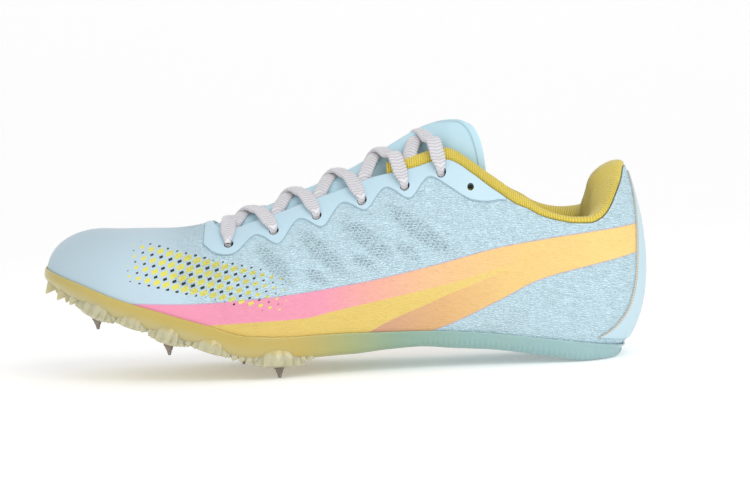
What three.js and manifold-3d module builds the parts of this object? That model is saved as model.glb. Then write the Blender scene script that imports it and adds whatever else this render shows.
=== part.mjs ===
// Sprint running shoe for the left foot, standing on its spikes and heel. Millimetres, +Z up.
// The toe points to -X, the outer (lateral) side faces -Y, and the floor is z = 0.
// The upper is a hollow shell over a last: wall columns stand around the sole's edge and
// lean in to the ridge of the foot. Every other piece takes its place from the same surface.
import * as THREE from 'three';
import { mergeVertices } from 'three/addons/utils/BufferGeometryUtils.js';
import Module from 'manifold-3d';

const wasm = await Module();
wasm.setup();

// Driving dimensions of the last
const LENGTH = 281;
const BALL_WIDTH = 92;
const HEEL_WIDTH = 57;
const MID_STACK = 17.5;
const TOE_SPRING = 33;
const INSTEP_DEPTH = 98;
const HEEL_HEIGHT = 88.5;
const HEEL_OVERHANG = 13;
const HEEL_ROUND = 30;
const TOE_ROUND = 46;
const HEEL_FAN = 46;
const TOE_FAN = 60;

// Driving dimensions of the pieces
const GAP = 0.3;
const OVERLAY_GAP = 0.7;
const UPPER_WALL = 2;
const EYESTAY_WALL = 0.8;
const EYELET_RADIUS = 2;
const THROAT_FRONT = 201;
const THROAT_ROUND = 11;
const EYESTAY_FRONT = 205;
const EYESTAY_BACK = 65;
const HEEL_STRIP_WALL = 0.9;
const HEEL_STRIP_TOP = 85;
const HEEL_STRIP_FOOT = 8;
const COLLAR_FRONT = 119;
const COLLAR_ROLL = 3.4;
const COLLAR_PAD = 15;
const COLLAR_DEPTH = 34;
const TONGUE_WALL = 2.4;
const TONGUE_FRONT = 207;
const TONGUE_BACK = 94;
const TONGUE_SLANT = 17;
const TONGUE_SUNK = 1.1;
const INSOLE_WALL = 3;
const INSOLE_CLEARANCE = 0.7;
const PLATE_LIP = 2.2;
const PLATE_LIP_WALL = 1.1;
const PLATE_PROUD = 1.3;
const PLATE_TUCK = 3;
const TOOTH_HEIGHT = 3.4;
const PIN_LENGTH = 5.6;
const PIN_RADIUS = 2.5;
const PIN_TIP_RADIUS = 0.6;
const PIN_FLANGE = 1;
const PIN_STEM_RADIUS = 2;
const PIN_STEM_LENGTH = 4;
const LACE_WIDTH = 6.6;
const LACE_THICKNESS = 1.6;
const LACE_OVER_TONGUE = 1.3;
const LACE_START_INSIDE = 4.2;

// The last from heel to toe: at is a share of LENGTH from the heel's rearmost point.
// lateral and medial are shares of the local width, stack of MID_STACK, spring of TOE_SPRING.
const LAST = [
  { at: 0.046, spine: 0, lateral: 0.5, medial: 0.49, stack: 0.27, spring: 0 },
  { at: 0.09, spine: 0, lateral: 0.505, medial: 0.49, stack: 0.41, spring: 0 },
  { at: 0.19, spine: 0, lateral: 0.48, medial: 0.45, stack: 0.66, spring: 0 },
  { at: 0.28, spine: 0.008, lateral: 0.435, medial: 0.385, stack: 0.86, spring: 0 },
  { at: 0.39, spine: 0.02, lateral: 0.4, medial: 0.305, stack: 0.985, spring: 0 },
  { at: 0.5, spine: 0.03, lateral: 0.41, medial: 0.325, stack: 1, spring: 0 },
  { at: 0.59, spine: 0.034, lateral: 0.462, medial: 0.405, stack: 0.985, spring: 0 },
  { at: 0.66, spine: 0.038, lateral: 0.494, medial: 0.45, stack: 1, spring: 0.035 },
  { at: 0.73, spine: 0.046, lateral: 0.496, medial: 0.45, stack: 1, spring: 0.225 },
  { at: 0.8, spine: 0.058, lateral: 0.476, medial: 0.435, stack: 1, spring: 0.415 },
  { at: 0.87, spine: 0.074, lateral: 0.445, medial: 0.41, stack: 1, spring: 0.61 },
  { at: 0.935, spine: 0.092, lateral: 0.41, medial: 0.37, stack: 1, spring: 0.82 },
  { at: 1, spine: 0.108, lateral: 0.375, medial: 0.325, stack: 1, spring: 1 },
];

// The ridge over the foot, and over the ankle where the shoe is open: depth above the
// sole's edge, as a share of INSTEP_DEPTH.
const RIDGE = [
  { at: 0.11, depth: 1.2 },
  { at: 0.21, depth: 1.12 },
  { at: 0.31, depth: 0.995 },
  { at: 0.38, depth: 0.905 },
  { at: 0.45, depth: 0.82 },
  { at: 0.516, depth: 0.74 },
  { at: 0.587, depth: 0.665 },
  { at: 0.655, depth: 0.58 },
  { at: 0.705, depth: 0.5 },
  { at: 0.772, depth: 0.412 },
  { at: 0.84, depth: 0.354 },
  { at: 0.9, depth: 0.3 },
];

// How each wall column curves: bulge and shoulder are shares of its reach from the
// centre line, rise is a share of its depth.
const WALLS = [
  { at: 0.046, bulge: 1.26, bulgeMedial: 1.26, rise: 0.245, shoulder: 1.04 },
  { at: 0.07, bulge: 0.98, bulgeMedial: 0.98, rise: 0.25, shoulder: 1.0 },
  { at: 0.1, bulge: 0.62, bulgeMedial: 0.62, rise: 0.26, shoulder: 0.9 },
  { at: 0.15, bulge: 0.36, bulgeMedial: 0.38, rise: 0.27, shoulder: 0.8 },
  { at: 0.21, bulge: 0.32, bulgeMedial: 0.38, rise: 0.3, shoulder: 0.76 },
  { at: 0.31, bulge: 0.4, bulgeMedial: 0.56, rise: 0.36, shoulder: 0.72 },
  { at: 0.39, bulge: 0.42, bulgeMedial: 0.68, rise: 0.4, shoulder: 0.6 },
  { at: 0.5, bulge: 0.3, bulgeMedial: 0.5, rise: 0.42, shoulder: 0.44 },
  { at: 0.59, bulge: 0.16, bulgeMedial: 0.24, rise: 0.4, shoulder: 0.42 },
  { at: 0.66, bulge: 0.09, bulgeMedial: 0.12, rise: 0.38, shoulder: 0.44 },
  { at: 0.77, bulge: 0.05, bulgeMedial: 0.06, rise: 0.42, shoulder: 0.5 },
  { at: 0.86, bulge: 0.04, bulgeMedial: 0.04, rise: 0.48, shoulder: 0.55 },
  { at: 0.94, bulge: 0.02, bulgeMedial: 0.02, rise: 0.55, shoulder: 0.58 },
  { at: 1, bulge: 0, bulgeMedial: 0, rise: 0.6, shoulder: 0.6 },
];

// Height of the topline: shares of HEEL_HEIGHT around the collar, and of the ridge's own
// height along the throat.
const TOPLINE = [
  { at: 0, lateral: 1, medial: 1 },
  { at: 0.033, lateral: 0.995, medial: 0.995 },
  { at: 0.041, lateral: 0.93, medial: 0.93 },
  { at: 0.052, lateral: 0.86, medial: 0.885 },
  { at: 0.064, lateral: 0.79, medial: 0.825 },
  { at: 0.078, lateral: 0.742, medial: 0.78 },
  { at: 0.097, lateral: 0.718, medial: 0.75 },
  { at: 0.121, lateral: 0.72, medial: 0.745 },
  { at: 0.15, lateral: 0.738, medial: 0.755 },
  { at: 0.178, lateral: 0.768, medial: 0.778 },
  { at: 0.206, lateral: 0.815, medial: 0.818 },
  { at: 0.235, lateral: 0.822, medial: 0.822 },
  { at: 0.263, lateral: 0.813, medial: 0.813 },
  { at: 0.285, lateral: 0.817, medial: 0.817 },
  { at: 0.306, lateral: 0.834, medial: 0.834 },
  { at: 0.324, lateral: 0.851, medial: 0.851 },
  { at: 0.345, lateral: 0.864, medial: 0.864 },
  { at: 0.374, lateral: 0.868, medial: 0.868 },
  { at: 0.406, lateral: 0.882, medial: 0.882 },
  { at: 0.452, lateral: 0.903, medial: 0.903 },
  { at: 0.505, lateral: 0.91, medial: 0.91 },
  { at: 0.545, lateral: 0.917, medial: 0.917 },
  { at: 0.6, lateral: 0.92, medial: 0.92 },
  { at: 0.655, lateral: 0.928, medial: 0.928 },
  { at: 0.694, lateral: 0.932, medial: 0.932 },
  { at: 0.72, lateral: 0.932, medial: 0.932 },
];

// One scallop of the eyestay's lower edge, from one crest to the next towards the heel.
const SCALLOP = [
  { phase: 0, drop: 0 },
  { phase: 0.2, drop: 0.08 },
  { phase: 0.38, drop: 0.45 },
  { phase: 0.55, drop: 0.88 },
  { phase: 0.68, drop: 1 },
  { phase: 0.8, drop: 0.85 },
  { phase: 0.9, drop: 0.4 },
  { phase: 1, drop: 0 },
];

// The scallops' crests, and the eyestay's last lobe: drop in millimetres below the topline.
const SCALLOP_FIRST = 0.652;
const SCALLOP_PITCH = 0.0722;
const SCALLOP_COUNT = 4;
const SCALLOP_CREST = 5.6;
const SCALLOP_SWING = 8.6;
const EYESTAY_LOBE = [
  { at: 0.231, drop: 0.8 },
  { at: 0.253, drop: 6 },
  { at: 0.275, drop: 11 },
  { at: 0.303, drop: 14.2 },
  { at: 0.327, drop: 12.2 },
  { at: 0.35, drop: 6.8 },
  { at: 0.3632, drop: 5.6 },
];
const EYESTAY_TOE = [
  { at: 0.652, drop: 5.6 },
  { at: 0.664, drop: 9.4 },
  { at: 0.676, drop: 11 },
  { at: 0.692, drop: 10.4 },
  { at: 0.712, drop: 8.6 },
  { at: 0.724, drop: 6.4 },
  { at: 0.73, drop: 2 },
];

// Eyelets: place along the shoe and drop below the topline in millimetres.
const EYELETS = [
  { at: 0.687, drop: 6.3 },
  { at: 0.612, drop: 7.4 },
  { at: 0.541, drop: 7.9 },
  { at: 0.466, drop: 8.8 },
  { at: 0.395, drop: 7.5 },
  { at: 0.3345, drop: 6 },
  { at: 0.2885, drop: 7.2 },
];

// Thickness of the sole below the upper's edge, and the lip that it turns up.
const PLATE = [
  { at: 0.046, thickness: 2.6, lip: 0.35 },
  { at: 0.06, thickness: 5.6, lip: 0.35 },
  { at: 0.12, thickness: 8.6, lip: 0.35 },
  { at: 0.19, thickness: 7.7, lip: 0.35 },
  { at: 0.26, thickness: 7.3, lip: 0.4 },
  { at: 0.33, thickness: 7.4, lip: 0.45 },
  { at: 0.38, thickness: 6.8, lip: 0.5 },
  { at: 0.43, thickness: 7.3, lip: 0.6 },
  { at: 0.5, thickness: 8.7, lip: 0.8 },
  { at: 0.6, thickness: 8.8, lip: 1 },
  { at: 0.72, thickness: 9, lip: 1 },
  { at: 0.86, thickness: 8, lip: 1 },
  { at: 0.94, thickness: 6.2, lip: 1.15 },
  { at: 1, thickness: 3.4, lip: 1.35 },
];

// Half the heel strip's spread, as a turn in degrees around the heel, by share of its height.
const HEEL_STRIP = [
  { up: 0, turn: 58 },
  { up: 0.05, turn: 50 },
  { up: 0.13, turn: 41 },
  { up: 0.25, turn: 33 },
  { up: 0.4, turn: 28.5 },
  { up: 0.58, turn: 25.5 },
  { up: 0.76, turn: 20 },
  { up: 0.9, turn: 14 },
  { up: 1, turn: 10 },
];

// Stud blocks under the forefoot: inset is the distance in from the sole's edge and drop
// the depth below the plate. A standing stud takes the drop that puts its spike on the floor.
const STUDS = [
  { at: 0.908, side: -1, inset: 8, length: 18, width: 12, drop: 3.8, pin: true },
  { at: 0.79, side: -1, inset: 8, length: 16, width: 12, drop: 3.2, pin: true },
  { at: 0.613, side: -1, inset: 9, length: 21, width: 13, drop: 3.2, pin: true, stands: true },
  { at: 0.9, side: 1, inset: 9.5, length: 16, width: 12, drop: 3.4, pin: true },
  { at: 0.795, side: 1, inset: 9.5, length: 16, width: 12, drop: 3.2, pin: true },
  { at: 0.684, side: 1, inset: 14, length: 19, width: 13, drop: 3.2, pin: true, stands: true },
  { at: 0.85, side: -1, inset: 6, length: 14, width: 8, drop: 1.4, pin: false },
  { at: 0.722, side: -1, inset: 6.5, length: 17, width: 9, drop: 1.4, pin: false },
  { at: 0.85, side: 1, inset: 7, length: 12, width: 8, drop: 1.4, pin: false },
  { at: 0.735, side: 1, inset: 7.5, length: 12, width: 8, drop: 1.4, pin: false },
  { at: 0.61, side: 1, inset: 9, length: 16, width: 10, drop: 2, pin: false },
];

// Free-standing teeth: the row at the toe and the rows down the middle of the forefoot.
const TEETH = [
  { at: 0.981, across: 0.1, size: 1.25 },
  { at: 0.957, across: -0.1, size: 1.2 },
  { at: 0.957, across: 0.3, size: 1.2 },
  { at: 0.93, across: 0.1, size: 1 },
  { at: 0.875, across: 0.08, size: 1 },
  { at: 0.82, across: -0.05, size: 1 },
  { at: 0.82, across: 0.18, size: 1 },
  { at: 0.765, across: 0.06, size: 1 },
  { at: 0.71, across: -0.1, size: 1 },
  { at: 0.71, across: 0.14, size: 1 },
  { at: 0.655, across: 0, size: 1 },
];

// Mesh fineness
const ROWS = 7;
const HEEL_STEPS = 8;
const SIDE_STEPS = 17;
const TOE_STEPS = 7;
const ROD_FACETS = 8;
const EYELET_FACETS = 7;

// Interpolation: a monotone cubic through the rows of a table
function tableCurve(table, key, by = 'at') {
  const x = table.map((row) => row[by]);
  const y = table.map((row) => row[key]);
  const last = x.length - 1;
  const slope = x.slice(1).map((_, i) => (y[i + 1] - y[i]) / (x[i + 1] - x[i]));
  const tangent = x.map((_, i) => {
    if (i === 0) return slope[0];
    if (i === last) return slope[last - 1];
    const before = slope[i - 1];
    const after = slope[i];
    return before * after <= 0 ? 0 : (2 * before * after) / (before + after);
  });
  return (at) => {
    if (at <= x[0]) return y[0];
    if (at >= x[last]) return y[last];
    let i = 0;
    while (at > x[i + 1]) i += 1;
    const h = x[i + 1] - x[i];
    const t = (at - x[i]) / h;
    const low = y[i] * (1 + 2 * t) + h * tangent[i] * t;
    const high = y[i + 1] * (3 - 2 * t) - h * tangent[i + 1] * (1 - t);
    return low * (1 - t) * (1 - t) + high * t * t;
  };
}

const shareAt = Object.fromEntries(
  ['spine', 'lateral', 'medial', 'stack', 'spring'].map((key) => [key, tableCurve(LAST, key)]),
);
const wallAt = Object.fromEntries(
  ['bulge', 'bulgeMedial', 'rise', 'shoulder'].map((key) => [key, tableCurve(WALLS, key)]),
);
const ridgeDepthAt = tableCurve(RIDGE, 'depth');
const toplineAt = {
  lateral: tableCurve(TOPLINE, 'lateral'),
  medial: tableCurve(TOPLINE, 'medial'),
};
const scallopAt = tableCurve(SCALLOP, 'drop', 'phase');
const lobeAt = tableCurve(EYESTAY_LOBE, 'drop');
const toeDropAt = tableCurve(EYESTAY_TOE, 'drop');
const plateAt = {
  thickness: tableCurve(PLATE, 'thickness'),
  lip: tableCurve(PLATE, 'lip'),
};
const stripTurnAt = tableCurve(HEEL_STRIP, 'turn', 'up');

const lerp = (a, b, t) => a + (b - a) * t;
const clamp01 = (t) => Math.min(1, Math.max(0, t));
const smooth = (low, high, x) => {
  const t = clamp01((x - low) / (high - low));
  return t * t * (3 - 2 * t);
};

// The last, by distance s from the heel's rearmost point
const LATERAL = -1;
const MEDIAL = 1;
const sideKey = (side) => (side === LATERAL ? 'lateral' : 'medial');
const spineAt = (s) => shareAt.spine(s / LENGTH) * BALL_WIDTH;
const widthAt = (s) => lerp(HEEL_WIDTH, BALL_WIDTH, smooth(0.12, 0.62, s / LENGTH));
const featherAt = (s) => {
  const at = s / LENGTH;
  return MID_STACK * shareAt.stack(at) + TOE_SPRING * shareAt.spring(at);
};
const ridgeAt = (s) => featherAt(s) + INSTEP_DEPTH * ridgeDepthAt(s / LENGTH);
const ridgeSlopeAt = (s) => (ridgeAt(s + 1) - ridgeAt(s - 1)) / 2;

function roundedEnd(distance, reach) {
  const POWER = 2.25;
  const inside = clamp01(1 - distance / reach);
  return (1 - inside ** POWER) ** (1 / POWER);
}

// The sole's edge in plan, where the upper's wall starts
function edgePoint(s, side) {
  const half = widthAt(s) * shareAt[sideKey(side)](s / LENGTH);
  const ends = roundedEnd(s - HEEL_OVERHANG, HEEL_ROUND) * roundedEnd(LENGTH - s, TOE_ROUND);
  return { s, y: spineAt(s) + side * half * ends };
}

// The centre that a wall column leans to: columns fan out round the heel and round the toe
function centreOf(s) {
  const SNAP = 0.9;
  const fan = (distance, reach) => {
    const start = reach / 2;
    const centre = start + start * (distance / reach) ** 2;
    return centre - start < SNAP ? start : centre;
  };
  const fromHeel = s - HEEL_OVERHANG;
  const fromToe = LENGTH - s;
  if (fromHeel < HEEL_FAN) return HEEL_OVERHANG + fan(fromHeel, HEEL_FAN);
  if (fromToe < TOE_FAN) return LENGTH - fan(fromToe, TOE_FAN);
  return s;
}

// A wall column: a cubic in the upright plane from the sole's edge to the ridge
function columnAt(s, side) {
  const edge = edgePoint(s, side);
  const centre = centreOf(s);
  const across = edge.y - spineAt(centre);
  const along = s - centre;
  const reach = Math.hypot(along, across) || 1e-9;
  const foot = featherAt(s);
  const top = ridgeAt(centre);
  const at = s / LENGTH;
  const bulge = wallAt[side === LATERAL ? 'bulge' : 'bulgeMedial'](at);
  const shoulder = wallAt.shoulder(at) * reach;
  const slope = ridgeSlopeAt(centre) * (along / reach);
  return {
    s,
    side,
    centre,
    reach,
    foot,
    top,
    dirS: along / reach,
    dirY: across / reach,
    curve: [
      [reach, foot],
      [reach * (1 + bulge), foot + wallAt.rise(at) * (top - foot)],
      [shoulder, top + slope * shoulder],
      [0, top],
    ],
  };
}

function columnPoint(column, v) {
  const w = 1 - v;
  const k = [w * w * w, 3 * w * w * v, 3 * w * v * v, v * v * v];
  return [0, 1].map((axis) => column.curve.reduce((sum, p, i) => sum + k[i] * p[axis], 0));
}

function columnSlope(column, v) {
  const w = 1 - v;
  const k = [w * w, 2 * w * v, v * v];
  const slope = [0, 1].map((axis) => k.reduce((sum, share, i) => {
    return sum + share * (column.curve[i + 1][axis] - column.curve[i][axis]);
  }, 0));
  const size = Math.hypot(...slope) || 1;
  return slope.map((value) => value / size);
}

// A point of the last's surface in s, y, z, moved in by inset measured square to the wall
function surfacePoint(column, v, inset = 0) {
  const LEAST_FACING = 0.6;
  const [reach, z] = columnPoint(column, v);
  const turn = v * v * (3 - 2 * v);
  const size = Math.hypot(1 - turn, turn);
  const inward = (1 - turn) / size;
  const down = turn / size;
  const [slopeOut, slopeUp] = columnSlope(column, v);
  const facing = Math.max(LEAST_FACING, inward * slopeUp - down * slopeOut);
  const out = reach - (inset * inward) / facing;
  return {
    s: column.centre + column.dirS * out,
    y: spineAt(column.centre) + column.dirY * out,
    z: z - (inset * down) / facing,
  };
}

const toWorld = (p) => new THREE.Vector3(LENGTH / 2 - p.s, p.y, p.z);

// Where a column reaches the value that below() accepts: low shares of it pass, high ones fail
function columnSplit(below) {
  let low = 0.001;
  let high = 1;
  for (let i = 0; i < 40; i += 1) {
    const v = (low + high) / 2;
    if (below(v)) low = v;
    else high = v;
  }
  return (low + high) / 2;
}

// Where a column reaches the height that heightAt gives for its own place
function columnHeight(column, heightAt) {
  return columnSplit((v) => {
    const p = surfacePoint(column, v);
    return p.z < heightAt(p.s);
  });
}

function toplineHeight(s, side) {
  const at = s / LENGTH;
  const whole = lerp(HEEL_HEIGHT, ridgeAt(s), smooth(0.2, 0.33, at));
  return whole * toplineAt[sideKey(side)](at);
}

// The topline's place on a column, with the throat rounded off at its front end
function toplineOf(column) {
  const ahead = THROAT_FRONT - column.centre;
  if (ahead <= 0) return 1;
  const v = columnHeight(column, (s) => toplineHeight(s, column.side));
  if (ahead >= THROAT_ROUND) return v;
  const half = columnPoint(column, v)[0] * roundedEnd(ahead, THROAT_ROUND);
  return columnSplit((share) => columnPoint(column, share)[0] > half);
}

// How far v moves for a distance along a column
function stepAlong(column, v, distance) {
  const a = columnPoint(column, v);
  const b = columnPoint(column, v + 0.01);
  return (distance * 0.01) / Math.hypot(b[0] - a[0], b[1] - a[1]);
}

// Places of the wall columns from heel to toe, closer together where the edge turns
function stations() {
  const places = [];
  for (let i = 0; i < HEEL_STEPS; i += 1) {
    const turn = (i / HEEL_STEPS) * (Math.PI / 2);
    places.push(HEEL_OVERHANG + HEEL_ROUND * (1 - Math.cos(turn)));
  }
  const sideStart = HEEL_OVERHANG + HEEL_ROUND;
  const sideEnd = LENGTH - TOE_ROUND;
  for (let i = 0; i < SIDE_STEPS; i += 1) {
    places.push(lerp(sideStart, sideEnd, i / SIDE_STEPS));
  }
  for (let i = 0; i <= TOE_STEPS; i += 1) {
    const turn = (1 - i / TOE_STEPS) * (Math.PI / 2);
    places.push(LENGTH - TOE_ROUND * (1 - Math.cos(turn)));
  }
  return places;
}

// Meshes are kept as { points, faces } until they become solids
function weld(points, faces) {
  const SIZE = 1e4;
  const seen = new Map();
  const kept = [];
  const index = points.map((p) => {
    const key = [p.x, p.y, p.z].map((value) => Math.round(value * SIZE)).join();
    if (!seen.has(key)) {
      seen.set(key, kept.length);
      kept.push(p);
    }
    return seen.get(key);
  });
  const clean = faces
    .map((face) => face.map((i) => index[i]))
    .filter(([a, b, c]) => a !== b && b !== c && c !== a);
  return { points: kept, faces: clean, index };
}

function gridFaces(rows, columns, start = 0, flip = false) {
  const faces = [];
  for (let i = 0; i < rows - 1; i += 1) {
    for (let j = 0; j < columns - 1; j += 1) {
      const a = start + i * columns + j;
      const b = a + 1;
      const c = a + columns;
      const d = c + 1;
      const pair = flip ? [[a, b, d], [a, d, c]] : [[a, d, b], [a, c, d]];
      faces.push(...pair);
    }
  }
  return faces;
}

// A shell between two skins that share their faces: walls close every open edge
function shell(outer, inner, faces) {
  const welded = weld(outer, faces);
  const partner = [];
  welded.index.forEach((kept, i) => {
    if (partner[kept] === undefined) partner[kept] = inner[i];
  });
  const count = welded.points.length;
  const edges = new Map();
  welded.faces.forEach((face) => {
    face.forEach((a, i) => {
      const b = face[(i + 1) % 3];
      edges.set(`${a},${b}`, [a, b]);
    });
  });
  const walls = [];
  edges.forEach(([a, b]) => {
    if (edges.has(`${b},${a}`)) return;
    walls.push([b, a, a + count], [b, a + count, b + count]);
  });
  const back = welded.faces.map(([a, b, c]) => [c + count, b + count, a + count]);
  return solidOf([...welded.points, ...partner], [...welded.faces, ...back, ...walls]);
}

// A manifold solid with its faces pointing out
function solidOf(points, faces) {
  const welded = weld(points, faces);
  const volume = welded.faces.reduce((sum, [a, b, c]) => {
    const [p, q, r] = [a, b, c].map((i) => welded.points[i]);
    return sum + p.dot(q.clone().cross(r));
  }, 0);
  const turned = volume > 0 ? welded.faces : welded.faces.map(([a, b, c]) => [a, c, b]);
  return new wasm.Manifold(new wasm.Mesh({
    numProp: 3,
    vertProperties: new Float32Array(welded.points.flatMap((p) => [p.x, p.y, p.z])),
    triVerts: new Uint32Array(turned.flat()),
  }));
}

function solidFromGeometry(geometry) {
  const bare = geometry.clone();
  bare.deleteAttribute('normal');
  bare.deleteAttribute('uv');
  const merged = mergeVertices(bare, 1e-4);
  return new wasm.Manifold(new wasm.Mesh({
    numProp: 3,
    vertProperties: new Float32Array(merged.attributes.position.array),
    triVerts: new Uint32Array(merged.index.array),
  }));
}

function geometryOf(solid) {
  const FINEST = 0.04;
  const mesh = solid.simplify(FINEST).getMesh();
  const geometry = new THREE.BufferGeometry();
  const positions = new Float32Array(mesh.vertProperties);
  geometry.setAttribute('position', new THREE.BufferAttribute(positions, 3));
  geometry.setIndex(new THREE.BufferAttribute(new Uint32Array(mesh.triVerts), 1));
  geometry.computeVertexNormals();
  return geometry;
}

// Rows keep their place low on the wall and close up only towards the open edge
function rowShare(low, high, t) {
  if (high === 1) return lerp(low, 1, t);
  const power = Math.min(3, (1 - low - 0.3 * (high - low)) / (1 - high));
  return low + (1 - low) * t - (1 - high) * t ** power;
}

// A shell over part of the last: each place gives the v range that it covers
function lastShell(places, range, outerInset, innerInset, rows) {
  const outer = [];
  const inner = [];
  const faces = [];
  [LATERAL, MEDIAL].forEach((side) => {
    const start = outer.length;
    places.forEach((s) => {
      const column = columnAt(s, side);
      const [low, high] = range(column);
      for (let j = 0; j <= rows; j += 1) {
        const v = rowShare(low, high, j / rows);
        outer.push(toWorld(surfacePoint(column, v, outerInset)));
        inner.push(toWorld(surfacePoint(column, v, innerInset)));
      }
    });
    faces.push(...gridFaces(places.length, rows + 1, start, side === MEDIAL));
  });
  return shell(outer, inner, faces);
}

// The upper: one hollow wall, open at the collar, at the throat and underneath
function upperPlaces() {
  const throat = [-5, -0.3, 0.3, 1.5, 4, 8].map((back) => THROAT_FRONT - back);
  const near = (s) => throat.some((t) => Math.abs(t - s) < 3);
  const kept = stations().filter((s) => !near(s));
  return [...kept, ...throat, COLLAR_FRONT].sort((a, b) => a - b);
}

function upperSolid() {
  const range = (column) => [0, toplineOf(column)];
  return lastShell(upperPlaces(), range, 0, UPPER_WALL, ROWS).subtract(eyeletCutters());
}

// Eyelet holes: short rods through the wall at each eyelet
function eyeletColumn(eyelet, side) {
  const s = eyelet.at * LENGTH;
  const column = columnAt(s, side);
  const v = columnHeight(column, () => toplineHeight(s, side) - eyelet.drop);
  return { column, v };
}

function eyeletCutters() {
  const REACH = 7;
  const cutters = [];
  EYELETS.forEach((eyelet) => {
    [LATERAL, MEDIAL].forEach((side) => {
      const { column, v } = eyeletColumn(eyelet, side);
      const outside = toWorld(surfacePoint(column, v, -REACH));
      const inside = toWorld(surfacePoint(column, v, REACH));
      cutters.push(rod(outside, inside, EYELET_RADIUS, EYELET_RADIUS, EYELET_FACETS));
    });
  });
  return wasm.Manifold.union(cutters);
}

function rod(from, to, fromRadius, toRadius, facets = ROD_FACETS) {
  const length = from.distanceTo(to);
  const geometry = new THREE.CylinderGeometry(toRadius, fromRadius, length, facets);
  const way = to.clone().sub(from).normalize();
  const turn = new THREE.Quaternion().setFromUnitVectors(new THREE.Vector3(0, 1, 0), way);
  geometry.applyQuaternion(turn);
  const middle = from.clone().add(to).multiplyScalar(0.5);
  geometry.translate(middle.x, middle.y, middle.z);
  return solidFromGeometry(geometry);
}

// The eyestay: a thin scalloped overlay around the throat
function eyestayDrop(s) {
  const at = s / LENGTH;
  const lastCrest = SCALLOP_FIRST - SCALLOP_COUNT * SCALLOP_PITCH;
  if (at >= SCALLOP_FIRST) return toeDropAt(at);
  if (at <= lastCrest) return lobeAt(at);
  const phase = (SCALLOP_FIRST - at) / SCALLOP_PITCH;
  return SCALLOP_CREST + SCALLOP_SWING * scallopAt(phase - Math.floor(phase));
}

function eyestaySolid() {
  const STEPS = 42;
  const places = [-0.3, 0.3, 1.5].map((back) => THROAT_FRONT - back);
  for (let i = 0; i <= STEPS; i += 1) {
    places.push(lerp(EYESTAY_BACK, EYESTAY_FRONT, i / STEPS));
  }
  places.sort((a, b) => a - b);
  const range = (column) => {
    const drop = eyestayDrop(column.s);
    const low = columnHeight(column, (s) => toplineHeight(s, column.side) - drop);
    const top = toplineOf(column);
    return [low, top === 1 ? 1 : top - stepAlong(column, top, GAP)];
  };
  const outerInset = -OVERLAY_GAP - EYESTAY_WALL;
  return lastShell(places, range, outerInset, -OVERLAY_GAP, 3).subtract(eyeletCutters());
}

// The heel strip: a raised strip up the back of the heel, spread wide at its foot
function heelStripSolid() {
  const UP = 10;
  const ACROSS = 8;
  const back = columnAt(HEEL_OVERHANG, LATERAL);
  const low = columnHeight(back, () => HEEL_STRIP_FOOT);
  const high = columnHeight(back, () => HEEL_STRIP_TOP);
  const outer = [];
  const inner = [];
  for (let i = 0; i <= UP; i += 1) {
    const up = i / UP;
    const spread = stripTurnAt(up);
    for (let j = 0; j <= ACROSS; j += 1) {
      const share = (2 * j) / ACROSS - 1;
      const turn = THREE.MathUtils.degToRad(spread * Math.abs(share));
      const place = HEEL_OVERHANG + HEEL_ROUND * (1 - Math.cos(turn));
      const column = columnAt(place, share < 0 ? LATERAL : MEDIAL);
      const v = lerp(low, high, up);
      outer.push(toWorld(surfacePoint(column, v, -OVERLAY_GAP - HEEL_STRIP_WALL)));
      inner.push(toWorld(surfacePoint(column, v, -OVERLAY_GAP)));
    }
  }
  return shell(outer, inner, gridFaces(UP + 1, ACROSS + 1));
}

// The collar lining: padded at the heel, rolled over the upper's edge
function padAt(s) {
  const sides = lerp(1.8, 4, 1 - smooth(0.2, 0.32, s / LENGTH));
  return lerp(COLLAR_PAD, sides, smooth(0.05, 0.2, s / LENGTH));
}

function liningDepthAt(s) {
  return lerp(COLLAR_DEPTH, 12, smooth(0.2, 0.4, s / LENGTH));
}

function liningSection(column) {
  const top = toplineOf(column);
  const face = UPPER_WALL + OVERLAY_GAP;
  const pad = padAt(column.s);
  const over = top + stepAlong(column, top, OVERLAY_GAP);
  const low = columnHeight(column, (s) => toplineHeight(s, column.side) - liningDepthAt(column.s));
  const middle = (low + top) / 2;
  const edge = columnPoint(column, top);
  const beyond = columnPoint(column, top + 0.01);
  const size = Math.hypot(beyond[0] - edge[0], beyond[1] - edge[1]);
  const rise = [(beyond[0] - edge[0]) / size, (beyond[1] - edge[1]) / size];
  const roll = (inward, up) => {
    const out = edge[0] + rise[0] * up - rise[1] * inward;
    const z = edge[1] + rise[1] * up + rise[0] * inward;
    return outlineRow(column, out, z);
  };
  return [
    surfacePoint(column, low, face),
    surfacePoint(column, middle, face),
    surfacePoint(column, over, face),
    surfacePoint(column, over, 0.5),
    roll(0.3, COLLAR_ROLL * 0.6),
    roll(1.6, COLLAR_ROLL),
    roll(face + pad * 0.45, COLLAR_ROLL),
    roll(face + pad * 0.9, COLLAR_ROLL * 0.25),
    roll(face + pad * 1.05, -COLLAR_ROLL * 1.4),
    surfacePoint(column, middle, face + pad * 0.85),
    surfacePoint(column, low, face + 1),
  ];
}

function collarLiningSolid() {
  const places = stations().filter((s) => s < COLLAR_FRONT - 3);
  places.push(COLLAR_FRONT);
  const ring = [];
  const lateral = places.slice().reverse();
  lateral.forEach((s) => ring.push(columnAt(s, LATERAL)));
  places.slice(1).forEach((s) => ring.push(columnAt(s, MEDIAL)));
  const sections = ring.map((column) => liningSection(column).map(toWorld));
  return loft(sections);
}

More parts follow.
